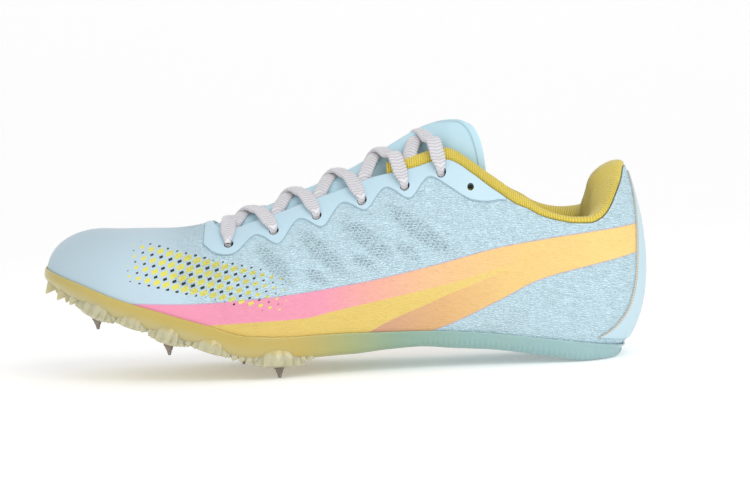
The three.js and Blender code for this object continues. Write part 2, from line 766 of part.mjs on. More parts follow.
// A closed tube through sections of equal size, with a fan over each end
function loft(sections) {
  const size = sections[0].length;
  const points = sections.flat();
  const faces = [];
  for (let i = 0; i < sections.length - 1; i += 1) {
    for (let j = 0; j < size; j += 1) {
      const a = i * size + j;
      const b = i * size + ((j + 1) % size);
      faces.push([a, b, b + size], [a, b + size, a + size]);
    }
  }
  [0, sections.length - 1].forEach((i) => {
    const middle = sections[i].reduce((sum, p) => sum.add(p), new THREE.Vector3());
    const hub = points.push(middle.multiplyScalar(1 / size)) - 1;
    for (let j = 0; j < size; j += 1) {
      const a = i * size + j;
      const b = i * size + ((j + 1) % size);
      faces.push(i === 0 ? [b, a, hub] : [a, b, hub]);
    }
  });
  return solidOf(points, faces);
}

// The tongue: a sheet under the throat that stands up past the collar
function tonguePoint(back, across, side, depth) {
  const turnedBack = TONGUE_SLANT * back * back * (1 - (1 - across) ** 3);
  const s = lerp(TONGUE_FRONT, TONGUE_BACK, back) - turnedBack;
  const column = columnAt(s, side);
  const edge = toplineOf(column);
  const reach = lerp(0.36, 0.46, smooth(0.1, 0.9, back));
  const v = 1 - reach * across;
  const atLining = smooth(COLLAR_FRONT + 14, COLLAR_FRONT, s);
  const dive = lerp(0.5, 0.12, atLining);
  const share = edge === 1 ? 1 : smooth(dive, dive + 0.42, (1 - v) / (1 - edge));
  const covered = Math.max(share, smooth(THROAT_FRONT - 10, THROAT_FRONT - 2.5, s));
  const under = UPPER_WALL + OVERLAY_GAP + 0.3 + (padAt(s) * 1.4 + 3) * atLining;
  const inset = lerp(TONGUE_SUNK, under, covered);
  return toWorld(surfacePoint(column, v, inset + depth));
}

function tongueSolid() {
  const ALONG = 14;
  const ACROSS = 6;
  const outer = [];
  const inner = [];
  for (let i = 0; i <= ALONG; i += 1) {
    for (let j = -ACROSS; j <= ACROSS; j += 1) {
      const side = j < 0 ? LATERAL : MEDIAL;
      const place = [i / ALONG, Math.abs(j) / ACROSS, side];
      outer.push(tonguePoint(...place, 0));
      inner.push(tonguePoint(...place, TONGUE_WALL));
    }
  }
  return shell(outer, inner, gridFaces(ALONG + 1, 2 * ACROSS + 1));
}

// A flat piece that fills the sole's outline: rows run from the top's centre to the bottom's
function outlineSolid(rowsOf) {
  const places = stations();
  const points = [];
  const faces = [];
  [LATERAL, MEDIAL].forEach((side) => {
    const start = points.length;
    let rows = 0;
    places.forEach((s) => {
      const section = rowsOf(columnAt(s, side));
      rows = section.length;
      points.push(...section.map(toWorld));
    });
    faces.push(...gridFaces(places.length, rows, start, side === MEDIAL));
  });
  return solidOf(points, faces);
}

function outlineRow(column, reach, z) {
  return {
    s: column.centre + column.dirS * reach,
    y: spineAt(column.centre) + column.dirY * reach,
    z,
  };
}

// A point in from the sole's edge, at the height that heightAt gives for its own place
function outlinePoint(column, reach, heightAt) {
  const p = outlineRow(column, reach, 0);
  return { ...p, z: heightAt(p.s) };
}

function insoleSolid() {
  const over = (height) => (s) => featherAt(s) + height;
  const rim = (column, height) => (s) => Math.max(featherAt(s), column.foot) + height;
  return outlineSolid((column) => {
    const reach = column.reach - UPPER_WALL - INSOLE_CLEARANCE;
    return [
      outlinePoint(column, 0, over(INSOLE_WALL)),
      outlinePoint(column, reach * 0.5, over(INSOLE_WALL)),
      outlinePoint(column, reach, rim(column, INSOLE_WALL)),
      outlinePoint(column, reach, rim(column, 0)),
      outlinePoint(column, reach * 0.5, over(0)),
      outlinePoint(column, 0, over(0)),
    ];
  });
}

// The sole: one moulded plate with a turned-up lip, stud blocks and teeth
function soleBottomAt(s) {
  return Math.max(0, featherAt(s) - plateAt.thickness(s / LENGTH));
}

function plateBody() {
  const seat = (s) => featherAt(s) - GAP;
  return outlineSolid((column) => {
    const at = column.s / LENGTH;
    const thickness = column.foot - soleBottomAt(column.s);
    const lip = stepAlong(column, 0.001, PLATE_LIP * plateAt.lip(at));
    const proud = PLATE_PROUD * smooth(0.046, 0.12, at);
    const tuck = Math.min(PLATE_TUCK, column.reach / 3);
    return [
      outlinePoint(column, 0, seat),
      outlinePoint(column, column.reach * 0.5, seat),
      outlineRow(column, column.reach - UPPER_WALL - GAP, column.foot - GAP),
      outlineRow(column, column.reach + GAP, column.foot - GAP),
      surfacePoint(column, lip, -GAP),
      surfacePoint(column, lip, -GAP - PLATE_LIP_WALL),
      outlineRow(column, column.reach + PLATE_LIP_WALL + GAP, column.foot - GAP),
      outlineRow(column, column.reach + proud, column.foot - thickness * 0.3),
      outlineRow(column, column.reach + proud * 0.3, column.foot - thickness * 0.72),
      outlinePoint(column, column.reach - tuck, soleBottomAt),
      outlinePoint(column, column.reach * 0.45, soleBottomAt),
      outlinePoint(column, 0, soleBottomAt),
    ];
  });
}

function studPlace(stud) {
  const s = stud.at * LENGTH;
  const edge = edgePoint(s, stud.side);
  return { s, y: edge.y - stud.side * stud.inset };
}

// The tilt of the plate's underside at s, as a turn about the Y axis
const undersideTilt = (s) => Math.atan2(soleBottomAt(s + 4) - soleBottomAt(s - 4), 8);

function placedOnPlate(geometry, s, y, sink) {
  const tilt = undersideTilt(s);
  geometry.translate(0, 0, sink);
  geometry.rotateY(tilt);
  const foot = toWorld({ s, y, z: soleBottomAt(s) });
  geometry.translate(foot.x, foot.y, foot.z);
  return solidFromGeometry(geometry);
}

function studDrop(stud) {
  return stud.stands ? soleBottomAt(stud.at * LENGTH) - PIN_LENGTH : stud.drop;
}

function studBlock(stud) {
  const SINK = 2.5;
  const { s, y } = studPlace(stud);
  const drop = studDrop(stud);
  const block = new THREE.CylinderGeometry(0.5, 0.4, SINK + drop, 10);
  block.rotateX(Math.PI / 2);
  block.scale(stud.length, stud.width, 1);
  return placedOnPlate(block, s, y, (SINK - drop) / 2);
}

function tooth(row) {
  const SINK = 2;
  const height = TOOTH_HEIGHT * row.size + SINK;
  const cone = new THREE.CylinderGeometry(2.6 * row.size, 0.4, height, 4);
  cone.rotateX(Math.PI / 2);
  return placedOnPlate(cone, row.at * LENGTH, row.across * BALL_WIDTH, SINK - height / 2);
}

function pinSeats() {
  return STUDS.filter((stud) => stud.pin).map((stud) => {
    const { s, y } = studPlace(stud);
    return toWorld({ s, y, z: soleBottomAt(s) - studDrop(stud) });
  });
}

const below = (point, distance) => point.clone().add(new THREE.Vector3(0, 0, -distance));

function soleSolid() {
  const pieces = [plateBody()];
  STUDS.forEach((stud) => pieces.push(studBlock(stud)));
  TEETH.forEach((row) => pieces.push(tooth(row)));
  const stem = PIN_STEM_RADIUS + GAP;
  const flange = PIN_RADIUS + GAP;
  const holes = pinSeats().flatMap((seat) => [
    rod(below(seat, 1), below(seat, -PIN_STEM_LENGTH - GAP), stem, stem),
    rod(below(seat, 4), seat, flange, flange),
  ]);
  return wasm.Manifold.union(pieces).subtract(wasm.Manifold.union(holes));
}

// A screw-in spike: a stem in the block, a flange, and a point cut off flat at its tip
function pinSolid(seat) {
  const stem = rod(below(seat, -PIN_STEM_LENGTH), below(seat, GAP * 2), PIN_STEM_RADIUS, PIN_STEM_RADIUS);
  const flange = rod(below(seat, GAP), below(seat, GAP + PIN_FLANGE), PIN_RADIUS, PIN_RADIUS);
  const root = below(seat, GAP + PIN_FLANGE / 2);
  const point = rod(root, below(seat, PIN_LENGTH), PIN_RADIUS * 0.86, PIN_TIP_RADIUS);
  return wasm.Manifold.union([stem, flange, point]);
}

// Laces: a bar at the toe end, then crossings that lie over the tongue and the eyestay
function laceSection(centre, across, normal) {
  const half = LACE_WIDTH / 2;
  const thick = LACE_THICKNESS / 2;
  const CORNERS = [[-1, 1], [1, 1], [1, -1], [-1, -1]];
  return CORNERS.map(([a, b]) => {
    return centre.clone().addScaledVector(across, a * half).addScaledVector(normal, b * thick);
  });
}

// The last's outward normal
function surfaceNormal(s, side, v) {
  const at = (place, share) => toWorld(surfacePoint(columnAt(place, side), Math.min(share, 1)));
  const along = at(s - 1.5, v).sub(at(s + 1.5, v));
  const up = at(s, v + 0.01).sub(at(s, v - 0.02));
  return along.cross(up).multiplyScalar(side).normalize();
}

// How far a lace's middle stands off the last: low over the tongue, higher over the eyestay
function laceLift(s, side, v) {
  const overEyestay = OVERLAY_GAP + EYESTAY_WALL + GAP + LACE_THICKNESS / 2 + 0.2;
  const column = columnAt(s, side);
  const edge = toplineOf(column);
  const share = edge === 1 ? 1 : smooth(0.45, 0.85, (1 - v) / (1 - edge));
  return lerp(LACE_OVER_TONGUE, overEyestay, share);
}

function laceRun(from, to) {
  const STEPS = 8;
  const points = [];
  const normals = [];
  for (let i = 0; i <= STEPS; i += 1) {
    const t = i / STEPS;
    const s = lerp(from.s, to.s, t);
    const reach = lerp(from.side * (1 - from.v), to.side * (1 - to.v), t);
    const side = reach < 0 ? LATERAL : MEDIAL;
    const v = 1 - Math.abs(reach);
    const lift = lerp(from.lift ?? 1, 1, smooth(0, 0.3, t)) * laceLift(s, side, v);
    points.push(toWorld(surfacePoint(columnAt(s, side), v, -lift)));
    normals.push(surfaceNormal(s, side, v));
  }
  const sections = points.map((p, i) => {
    const way = points[Math.min(i + 1, STEPS)].clone().sub(points[Math.max(i - 1, 0)]).normalize();
    const across = way.clone().cross(normals[i]).normalize();
    const normal = across.clone().cross(way).normalize();
    return laceSection(p, across, normal);
  });
  return loft(sections);
}

function laceEnd(index, side) {
  const { column, v } = eyeletColumn(EYELETS[index], side);
  return { s: column.s, side, v };
}

function laceStart(index, side) {
  const BACK = 7.5;
  const s = EYELETS[index].at * LENGTH - BACK;
  const column = columnAt(s, side);
  const top = toplineOf(column);
  return { s, side, v: top + stepAlong(column, top, LACE_START_INSIDE), lift: 0.3 };
}

function laceSolids() {
  const bar = laceRun(laceEnd(0, LATERAL), laceEnd(0, MEDIAL));
  const crossings = [1, 2, 3, 4, 5].map((i) => {
    const a = laceRun(laceStart(i - 1, LATERAL), laceEnd(i, MEDIAL));
    const b = laceRun(laceStart(i - 1, MEDIAL), laceEnd(i, LATERAL));
    return a.add(b);
  });
  return [bar, ...crossings];
}

// Materials
const finish = (color, roughness, metalness = 0) => {
  return new THREE.MeshStandardMaterial({ color, roughness, metalness });
};
const MATERIALS = {
  upper: finish(0xbfdfea, 0.75),
  overlay: finish(0xb9dbea, 0.45),
  lining: finish(0xf0df7a, 0.9),
  tongue: finish(0xb4d8e4, 0.6),
  insole: finish(0xf2e692, 0.9),
  sole: finish(0xd8cf7e, 0.35),
  steel: finish(0x8d8780, 0.35, 0.9),
  lace: finish(0xf1eff0, 0.9),
};

const shoe = new THREE.Group();
const group = new THREE.Group();
group.add(shoe);

function add(name, solid, material) {
  const mesh = new THREE.Mesh(geometryOf(solid), material);
  mesh.name = name;
  shoe.add(mesh);
}

add('upper', upperSolid(), MATERIALS.upper);
add('eyestay', eyestaySolid(), MATERIALS.overlay);
add('heel_strip', heelStripSolid(), MATERIALS.overlay);
add('collar_lining', collarLiningSolid(), MATERIALS.lining);
add('tongue', tongueSolid(), MATERIALS.tongue);
add('insole', insoleSolid(), MATERIALS.insole);
add('sole', soleSolid(), MATERIALS.sole);
pinSeats().forEach((seat, i) => add(`spike_${i + 1}`, pinSolid(seat), MATERIALS.steel));
laceSolids().forEach((solid, i) => add(`lace_${i + 1}`, solid, MATERIALS.lace));

// The origin is the middle of the shoe's footprint box, on the floor
const bounds = new THREE.Box3().setFromObject(shoe);
const middle = bounds.getCenter(new THREE.Vector3());
shoe.position.set(-middle.x, -middle.y, 0);

export default group;
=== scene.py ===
import math

import bpy
import numpy as np
from mathutils import Matrix, Vector


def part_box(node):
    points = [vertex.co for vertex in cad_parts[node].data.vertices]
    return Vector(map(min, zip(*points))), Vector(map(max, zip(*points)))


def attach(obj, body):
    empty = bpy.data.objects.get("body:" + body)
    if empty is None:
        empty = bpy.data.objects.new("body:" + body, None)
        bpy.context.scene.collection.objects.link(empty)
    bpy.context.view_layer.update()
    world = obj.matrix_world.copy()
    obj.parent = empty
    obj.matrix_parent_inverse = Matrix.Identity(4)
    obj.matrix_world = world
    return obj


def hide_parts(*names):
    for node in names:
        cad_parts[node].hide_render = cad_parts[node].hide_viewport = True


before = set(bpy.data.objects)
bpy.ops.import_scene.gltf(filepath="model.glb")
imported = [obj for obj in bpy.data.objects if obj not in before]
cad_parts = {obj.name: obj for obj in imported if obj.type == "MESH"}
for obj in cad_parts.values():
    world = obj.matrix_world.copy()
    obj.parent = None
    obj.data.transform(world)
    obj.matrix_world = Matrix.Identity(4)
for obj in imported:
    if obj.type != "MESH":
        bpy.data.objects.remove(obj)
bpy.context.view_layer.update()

MM = 0.001
LATERAL = -1
MEDIAL = 1

# Sizes of the last, as in the part's source
LENGTH = 281
BALL_WIDTH = 92
HEEL_WIDTH = 57
MID_STACK = 17.5
TOE_SPRING = 33
INSTEP_DEPTH = 98
HEEL_HEIGHT = 88.5
HEEL_OVERHANG = 13
HEEL_ROUND = 30
TOE_ROUND = 46
HEEL_FAN = 46
TOE_FAN = 60

# Sizes of the pieces
GAP = 0.3
UPPER_WALL = 2
FILM_GAP = 0.1
EYESTAY_WALL = 0.5
EYELET_RADIUS = 2.2
FREE_EYELET_RADIUS = 1.5
THROAT_FRONT = 201
THROAT_ROUND = 11
THROAT_STEP = 0.3
EYESTAY_FRONT = 205
EYESTAY_BACK = 65
HEEL_STRIP_WALL = 0.7
HEEL_STRIP_TOP = 85
HEEL_STRIP_FOOT = 8
COLLAR_FRONT = 119
COLLAR_ROLL = 3.4
COLLAR_PAD = 15
COLLAR_DEPTH = 34
LINING_FACE = 2.7
TONGUE_WALL = 2.4
TONGUE_FRONT = 207
TONGUE_BACK = 93
TONGUE_SLANT = 20
TONGUE_SUNK = 1.1
TONGUE_STAND = 3.2
TONGUE_PAD = 0.8
INSOLE_WALL = 3
INSOLE_CLEARANCE = 0.7
PLATE_LIP = 2.2
PLATE_LIP_WALL = 1.1
PLATE_PROUD = 1.3
PLATE_TUCK = 3
STUD_PROUD = 2
TOOTH_HEIGHT = 3.4
PIN_LENGTH = 5.6
LACE_WIDTH = 6.8
LACE_THICKNESS = 2.5
LACE_CROSSINGS = 5
LACE_START_INSIDE = 4.2
LACE_START_BACK = 2
BRAID_PITCH = 1.6
BRAID_SLANT = 4.5

# The printed field of lozenges on the side: ends (s, z), pitch and rows
PRINT_START = (240, 57)
PRINT_END = (163, 37)
PRINT_PITCH = 4.4
PRINT_ROWS = 4

# The camera: place in millimetres of the model's frame, angles and lens
CAMERA_PLACE = (18.2, -1081.9, 127.6)
CAMERA_PITCH = math.radians(3.65)
CAMERA_ROLL = math.radians(2.82)
CAMERA_LENS = 111.0


# Tables and the curves through them
def table(names, *rows):
    """A table with named columns."""
    return {name: np.array(column, float) for name, column in zip(names.split(), zip(*rows))}


def curve(rows, key, by="at"):
    """A monotone cubic through one column of a table."""
    x, y = rows[by], rows[key]
    slope = np.diff(y) / np.diff(x)
    before, after = slope[:-1], slope[1:]
    total = before + after
    mean = 2 * before * after / np.where(total == 0, 1, total)
    inner = np.where(before * after > 0, mean, 0)
    tangent = np.concatenate([slope[:1], inner, slope[-1:]])

    def value(place):
        place = np.clip(place, x[0], x[-1])
        i = np.clip(np.searchsorted(x, place, side="right") - 1, 0, len(x) - 2)
        h = x[i + 1] - x[i]
        t = (place - x[i]) / h
        low = y[i] * (1 + 2 * t) + h * tangent[i] * t
        high = y[i + 1] * (3 - 2 * t) - h * tangent[i + 1] * (1 - t)
        return low * (1 - t) ** 2 + high * t**2

    return value


LAST = table(
    "at spine lateral medial stack spring",
    (0.046, 0, 0.5, 0.49, 0.27, 0),
    (0.09, 0, 0.505, 0.49, 0.41, 0),
    (0.19, 0, 0.48, 0.45, 0.66, 0),
    (0.28, 0.008, 0.435, 0.385, 0.86, 0),
    (0.39, 0.02, 0.4, 0.305, 0.985, 0),
    (0.5, 0.03, 0.41, 0.325, 1, 0),
    (0.59, 0.034, 0.462, 0.405, 0.985, 0),
    (0.66, 0.038, 0.494, 0.45, 1, 0.035),
    (0.73, 0.046, 0.496, 0.45, 1, 0.225),
    (0.8, 0.058, 0.476, 0.435, 1, 0.415),
    (0.87, 0.074, 0.445, 0.41, 1, 0.61),
    (0.935, 0.092, 0.41, 0.37, 1, 0.82),
    (1, 0.108, 0.375, 0.325, 1, 1),
)
RIDGE = table(
    "at depth",
    (0.11, 1.2),
    (0.21, 1.12),
    (0.31, 0.995),
    (0.38, 0.905),
    (0.45, 0.82),
    (0.516, 0.74),
    (0.587, 0.665),
    (0.655, 0.58),
    (0.705, 0.5),
    (0.772, 0.412),
    (0.84, 0.354),
    (0.9, 0.3),
)
WALLS = table(
    "at bulge bulge_medial rise shoulder",
    (0.046, 1.26, 1.26, 0.245, 1.04),
    (0.07, 0.98, 0.98, 0.25, 1.0),
    (0.1, 0.62, 0.62, 0.26, 0.9),
    (0.15, 0.36, 0.38, 0.27, 0.8),
    (0.21, 0.32, 0.38, 0.3, 0.76),
    (0.31, 0.4, 0.56, 0.36, 0.72),
    (0.39, 0.42, 0.68, 0.4, 0.6),
    (0.5, 0.3, 0.5, 0.42, 0.44),
    (0.59, 0.16, 0.24, 0.4, 0.42),
    (0.66, 0.09, 0.12, 0.38, 0.44),
    (0.77, 0.05, 0.06, 0.42, 0.5),
    (0.86, 0.04, 0.04, 0.48, 0.55),
    (0.94, 0.02, 0.02, 0.55, 0.58),
    (1, 0, 0, 0.6, 0.6),
)
TOPLINE = table(
    "at lateral medial",
    (0, 1, 1),
    (0.033, 0.995, 0.995),
    (0.041, 0.93, 0.93),
    (0.052, 0.86, 0.885),
    (0.064, 0.79, 0.825),
    (0.078, 0.742, 0.78),
    (0.097, 0.718, 0.75),
    (0.121, 0.72, 0.745),
    (0.15, 0.738, 0.755),
    (0.178, 0.768, 0.778),
    (0.206, 0.815, 0.818),
    (0.235, 0.822, 0.822),
    (0.263, 0.813, 0.813),
    (0.285, 0.817, 0.817),
    (0.306, 0.834, 0.834),
    (0.324, 0.851, 0.851),
    (0.345, 0.864, 0.864),
    (0.374, 0.868, 0.868),
    (0.406, 0.882, 0.882),
    (0.452, 0.903, 0.903),
    (0.505, 0.91, 0.91),
    (0.545, 0.917, 0.917),
    (0.6, 0.92, 0.92),
    (0.655, 0.928, 0.928),
    (0.694, 0.932, 0.932),
    (0.72, 0.932, 0.932),
)
SCALLOP = table(
    "phase drop",
    (0, 0),
    (0.2, 0.08),
    (0.38, 0.45),
    (0.55, 0.88),
    (0.68, 1),
    (0.8, 0.85),
    (0.9, 0.4),
    (1, 0),
)
SCALLOP_FIRST = 0.652
SCALLOP_PITCH = 0.0722
SCALLOP_COUNT = 4
SCALLOP_CREST = 5.6
SCALLOP_SWING = 8.6
EYESTAY_LOBE = table(
    "at drop",
    (0.231, 0.8),
    (0.253, 6),
    (0.275, 11),
    (0.303, 14.2),
    (0.327, 12.2),
    (0.35, 6.8),
    (0.3632, 5.6),
)
EYESTAY_TOE = table(
    "at drop",
    (0.652, 5.6),
    (0.664, 9.4),
    (0.676, 11),
    (0.692, 10.4),
    (0.712, 8.6),
    (0.724, 6.4),
    (0.73, 2),
)
EYELETS = table(
    "at drop",
    (0.687, 6.3),
    (0.612, 7.4),
    (0.541, 7.9),
    (0.466, 8.8),
    (0.395, 7.5),
    (0.3345, 6),
    (0.2885, 7.2),
)
PLATE = table(
    "at thickness lip",
    (0.046, 2.6, 0.35),
    (0.06, 5.6, 0.35),
    (0.12, 8.6, 0.35),
    (0.19, 7.7, 0.35),
    (0.26, 7.3, 0.4),
    (0.33, 7.4, 0.45),
    (0.38, 6.8, 0.5),
    (0.43, 7.3, 0.6),
    (0.5, 8.7, 0.8),
    (0.6, 8.8, 1),
    (0.72, 9, 1),
    (0.86, 8, 1),
    (0.94, 6.2, 1.15),
    (1, 3.4, 1.35),
)
HEEL_STRIP = table(
    "up turn",
    (0, 58),
    (0.05, 50),
    (0.13, 41),
    (0.25, 33),
    (0.4, 28.5),
    (0.58, 25.5),
    (0.76, 20),
    (0.9, 14),
    (1, 10),
)

# Stud blocks: inset and drop in millimetres, pin 1 where a spike is screwed in, and stands 1
# where that spike reaches the floor.
STUDS = table(
    "at side inset length width drop pin stands",
    (0.908, -1, 8, 18, 12, 3.8, 1, 0),
    (0.79, -1, 8, 16, 12, 3.2, 1, 0),
    (0.613, -1, 9, 21, 13, 3.2, 1, 1),
    (0.9, 1, 9.5, 16, 12, 3.4, 1, 0),
    (0.795, 1, 9.5, 16, 12, 3.2, 1, 0),
    (0.684, 1, 14, 19, 13, 3.2, 1, 1),
    (0.85, -1, 6, 14, 8, 1.4, 0, 0),
    (0.722, -1, 6.5, 17, 9, 1.4, 0, 0),
    (0.85, 1, 7, 12, 8, 1.4, 0, 0),
    (0.735, 1, 7.5, 12, 8, 1.4, 0, 0),
    (0.61, 1, 9, 16, 10, 2, 0, 0),
)
TEETH = table(
    "at across size",
    (0.981, 0.1, 1.25),
    (0.957, -0.1, 1.2),
    (0.957, 0.3, 1.2),
    (0.93, 0.1, 1),
    (0.875, 0.08, 1),
    (0.82, -0.05, 1),
    (0.82, 0.18, 1),
    (0.765, 0.06, 1),
    (0.71, -0.1, 1),
    (0.71, 0.14, 1),
    (0.655, 0, 1),
)

# The colour band on the side: heights in millimetres by s, for its upper and lower edge, and
# for the yellow stripe that runs inside it.
BAND = table(
    "s top low",
    (6, 61.9, 48.8),
    (33, 59.2, 43.5),
    (52, 57, 38.9),
    (70, 54.5, 30.7),
    (94, 49.2, 20.4),
    (106, 46.7, 16.5),
    (129, 42.5, 8),
    (143, 40.6, 4),
    (161, 38.6, 2),
    (183, 37, 0),
    (206, 36.3, 0),
    (242, 37.6, 0),
)
STRIPE = table(
    "s top low",
    (50, 50, 50),
    (62, 47, 45.8),
    (78, 43, 39.8),
    (93, 39.3, 34.6),
    (103, 37.3, 30.6),
    (120, 34.2, 24.1),
    (134, 31.8, 17),
    (148, 29.3, 8),
    (160, 27.3, 2),
    (188, 26.8, 0),
    (216, 26.3, 0),
)

# See-through patches of the knit: middle, length, width and slant in degrees
PATCHES = table(
    "s z length width slant",
    (172, 52, 27, 8.5, 46),
    (150, 56, 32, 9, 44),
    (153, 45.5, 12, 6, 40),
    (130, 61.5, 32, 10, 40),
    (131.5, 51, 14, 6, 34),
    (105.5, 64.4, 39, 10, 38),
    (111.5, 55, 14, 6, 34),
    (213, 46.5, 15, 6, 30),
)

# Soft creases and swellings of the upper: ends, half width and depth, all in millimetres
CREASES = table(
    "s0 z0 s1 z1 width depth",
    (210, 62, 196, 40, 4.5, 0.35),
    (199, 60, 187, 42, 4, 0.3),
    (222, 58, 214, 42, 5, 0.25),
    (88, 76, 66, 58, 7, 0.35),
    (60, 67, 44, 57, 6, 0.3),
    (120, 36, 88, 30, 9, -0.35),
    (36, 36, 60, 22, 8, -0.3),
)

# Rings of a stud block from its head in the plate's side to its cut-off foot: height in
# millimetres above the plate or as a share of the drop below it, size, and serration.
STUD_RINGS = table(
    "up down size teeth",
    (7.2, 0, 0.5, 0),
    (6.2, 0, 0.84, 0.01),
    (4.4, 0, 0.99, 0.03),
    (2.0, 0, 1.1, 0.06),
    (0.4, 0, 1.16, 0.1),
    (0, 0.35, 1.17, 0.14),
    (0, 0.7, 1.12, 0.17),
    (0, 0.76, 0.84, 0.06),
    (0, 1, 0.64, 0.02),
)

# A pin by distance down from its seat
PIN_PROFILE = table(
    "down radius",
    (-3.8, 1.9),
    (0.25, 1.9),
    (0.3, 2.4),
    (0.5, 2.5),
    (1.1, 2.5),
    (1.3, 2.3),
    (1.35, 2.05),
    (3.2, 1.4),
    (3.3, 1.2),
    (5.3, 0.7),
    (5.55, 0.6),
    (5.6, 0.45),
)

EYELET_COUNT = len(EYELETS["at"])

share_at = {key: curve(LAST, key) for key in ("spine", "lateral", "medial", "stack", "spring")}
wall_at = {key: curve(WALLS, key) for key in ("bulge", "bulge_medial", "rise", "shoulder")}
ridge_depth = curve(RIDGE, "depth")
topline_share = {LATERAL: curve(TOPLINE, "lateral"), MEDIAL: curve(TOPLINE, "medial")}
scallop_drop = curve(SCALLOP, "drop", "phase")
lobe_drop = curve(EYESTAY_LOBE, "drop")
toe_drop = curve(EYESTAY_TOE, "drop")
plate_thickness = curve(PLATE, "thickness")
plate_lip = curve(PLATE, "lip")
strip_turn = curve(HEEL_STRIP, "turn", "up")
band_edges = [curve(BAND, key, "s") for key in ("top", "low")]
stripe_edges = [curve(STRIPE, key, "s") for key in ("top", "low")]


def lerp(a, b, t):
    return a + (b - a) * t


def smooth(low, high, x):
    t = np.clip((x - low) / (high - low), 0, 1)
    return t * t * (3 - 2 * t)


# The last, by distance s from the heel's rearmost point
def spine(s):
    return share_at["spine"](s / LENGTH) * BALL_WIDTH


def feather(s):
    return MID_STACK * share_at["stack"](s / LENGTH) + TOE_SPRING * share_at["spring"](s / LENGTH)


def ridge(s):
    return feather(s) + INSTEP_DEPTH * ridge_depth(s / LENGTH)


def rounded_end(distance, reach):
    power = 2.25
    inside = np.clip(1 - distance / reach, 0, 1)
    return (1 - inside**power) ** (1 / power)


def edge_y(s, side):
    """The sole's edge in plan."""
    width = lerp(HEEL_WIDTH, BALL_WIDTH, smooth(0.12, 0.62, s / LENGTH))
    share = np.where(side < 0, share_at["lateral"](s / LENGTH), share_at["medial"](s / LENGTH))
    ends = rounded_end(s - HEEL_OVERHANG, HEEL_ROUND) * rounded_end(LENGTH - s, TOE_ROUND)
    return spine(s) + side * width * share * ends


def fan(distance, reach):
    snap = 0.9
    start = reach / 2
    centre = start + start * (distance / reach) ** 2
    return np.where(centre - start < snap, start, centre)


def centre_of(s):
    """The centre that a wall column leans to."""
    from_heel = s - HEEL_OVERHANG
    from_toe = LENGTH - s
    at_toe = np.where(from_toe < TOE_FAN, LENGTH - fan(from_toe, TOE_FAN), s)
    return np.where(from_heel < HEEL_FAN, HEEL_OVERHANG + fan(from_heel, HEEL_FAN), at_toe)


class Wall:
    """Wall columns of the last, each a cubic from the sole's edge to the ridge of the foot."""

    def __init__(self, s, side):
        s, side = np.broadcast_arrays(np.asarray(s, float), np.asarray(side, float))
        self.s, self.side = s, side
        self.centre = centre_of(s)
        across = edge_y(s, side) - spine(self.centre)
        along = s - self.centre
        self.reach = np.maximum(np.hypot(along, across), 1e-9)
        self.way_s, self.way_y = along / self.reach, across / self.reach
        self.foot, self.top = feather(s), ridge(self.centre)
        at = s / LENGTH
        bulge = np.where(side < 0, wall_at["bulge"](at), wall_at["bulge_medial"](at))
        shoulder = wall_at["shoulder"](at) * self.reach
        slope = (ridge(self.centre + 1) - ridge(self.centre - 1)) / 2 * self.way_s
        rise = self.foot + wall_at["rise"](at) * (self.top - self.foot)
        self.out = (self.reach, self.reach * (1 + bulge), shoulder, np.zeros_like(shoulder))
        self.up = (self.foot, rise, self.top + slope * shoulder, self.top)

    def bezier(self, v):
        w = 1 - v
        shares = (w**3, 3 * w * w * v, 3 * w * v * v, v**3)
        return [sum(k * p for k, p in zip(shares, ends)) for ends in (self.out, self.up)]

    def slope(self, v):
        w = 1 - v
        shares = (w * w, 2 * w * v, v * v)
        steps = [[b - a for a, b in zip(ends, ends[1:])] for ends in (self.out, self.up)]
        out, up = [sum(k * p for k, p in zip(shares, step)) for step in steps]
        size = np.maximum(np.hypot(out, up), 1e-9)
        return out / size, up / size

    def at_reach(self, out, z):
        """Places out from the centre line along each column."""
        s = self.centre + self.way_s * out
        y = spine(self.centre) + self.way_y * out
        return np.stack(np.broadcast_arrays(s, y, z), axis=-1)

    def place(self, v, inset=0.0):
        """Places on the surface, moved in by inset square to the wall."""
        least_facing = 0.6
        reach, z = self.bezier(v)
        turn = v * v * (3 - 2 * v)
        size = np.hypot(1 - turn, turn)
        inward, down = (1 - turn) / size, turn / size
        out, up = self.slope(v)
        facing = np.maximum(least_facing, inward * up - down * out)
        return self.at_reach(reach - inset * inward / facing, z - inset * down / facing)

    def split(self, below):
        """The share of each column where below(v) stops being true."""
        low = np.full(self.s.shape, 0.001)
        high = np.ones(self.s.shape)
        for _ in range(40):
            v = (low + high) / 2
            passed = below(v)
            low, high = np.where(passed, v, low), np.where(passed, high, v)
        return (low + high) / 2

    def at_height(self, height):
        """Where each column reaches height(s)."""

        def below(v):
            place = self.place(v)
            return place[..., 2] < height(place[..., 0])

        return self.split(below)

    def step(self, v, distance):
        """How far v moves for a distance along each column."""
        a, b = self.bezier(v), self.bezier(v + 0.01)
        return distance * 0.01 / np.hypot(b[0] - a[0], b[1] - a[1])

    def topline(self):
        """The topline's share, with the throat rounded off at its front end."""
        v = self.at_height(lambda s: topline_height(s, self.side))
        ahead = THROAT_FRONT - self.centre
        half = self.bezier(v)[0] * rounded_end(ahead, THROAT_ROUND)
        rounded = self.split(lambda share: self.bezier(share)[0] > half)
        return np.where(ahead <= 0, 1, np.where(ahead >= THROAT_ROUND, v, rounded))


def topline_height(s, side):
    at = s / LENGTH
    whole = lerp(HEEL_HEIGHT, ridge(s), smooth(0.2, 0.33, at))
    return whole * np.where(side < 0, topline_share[LATERAL](at), topline_share[MEDIAL](at))


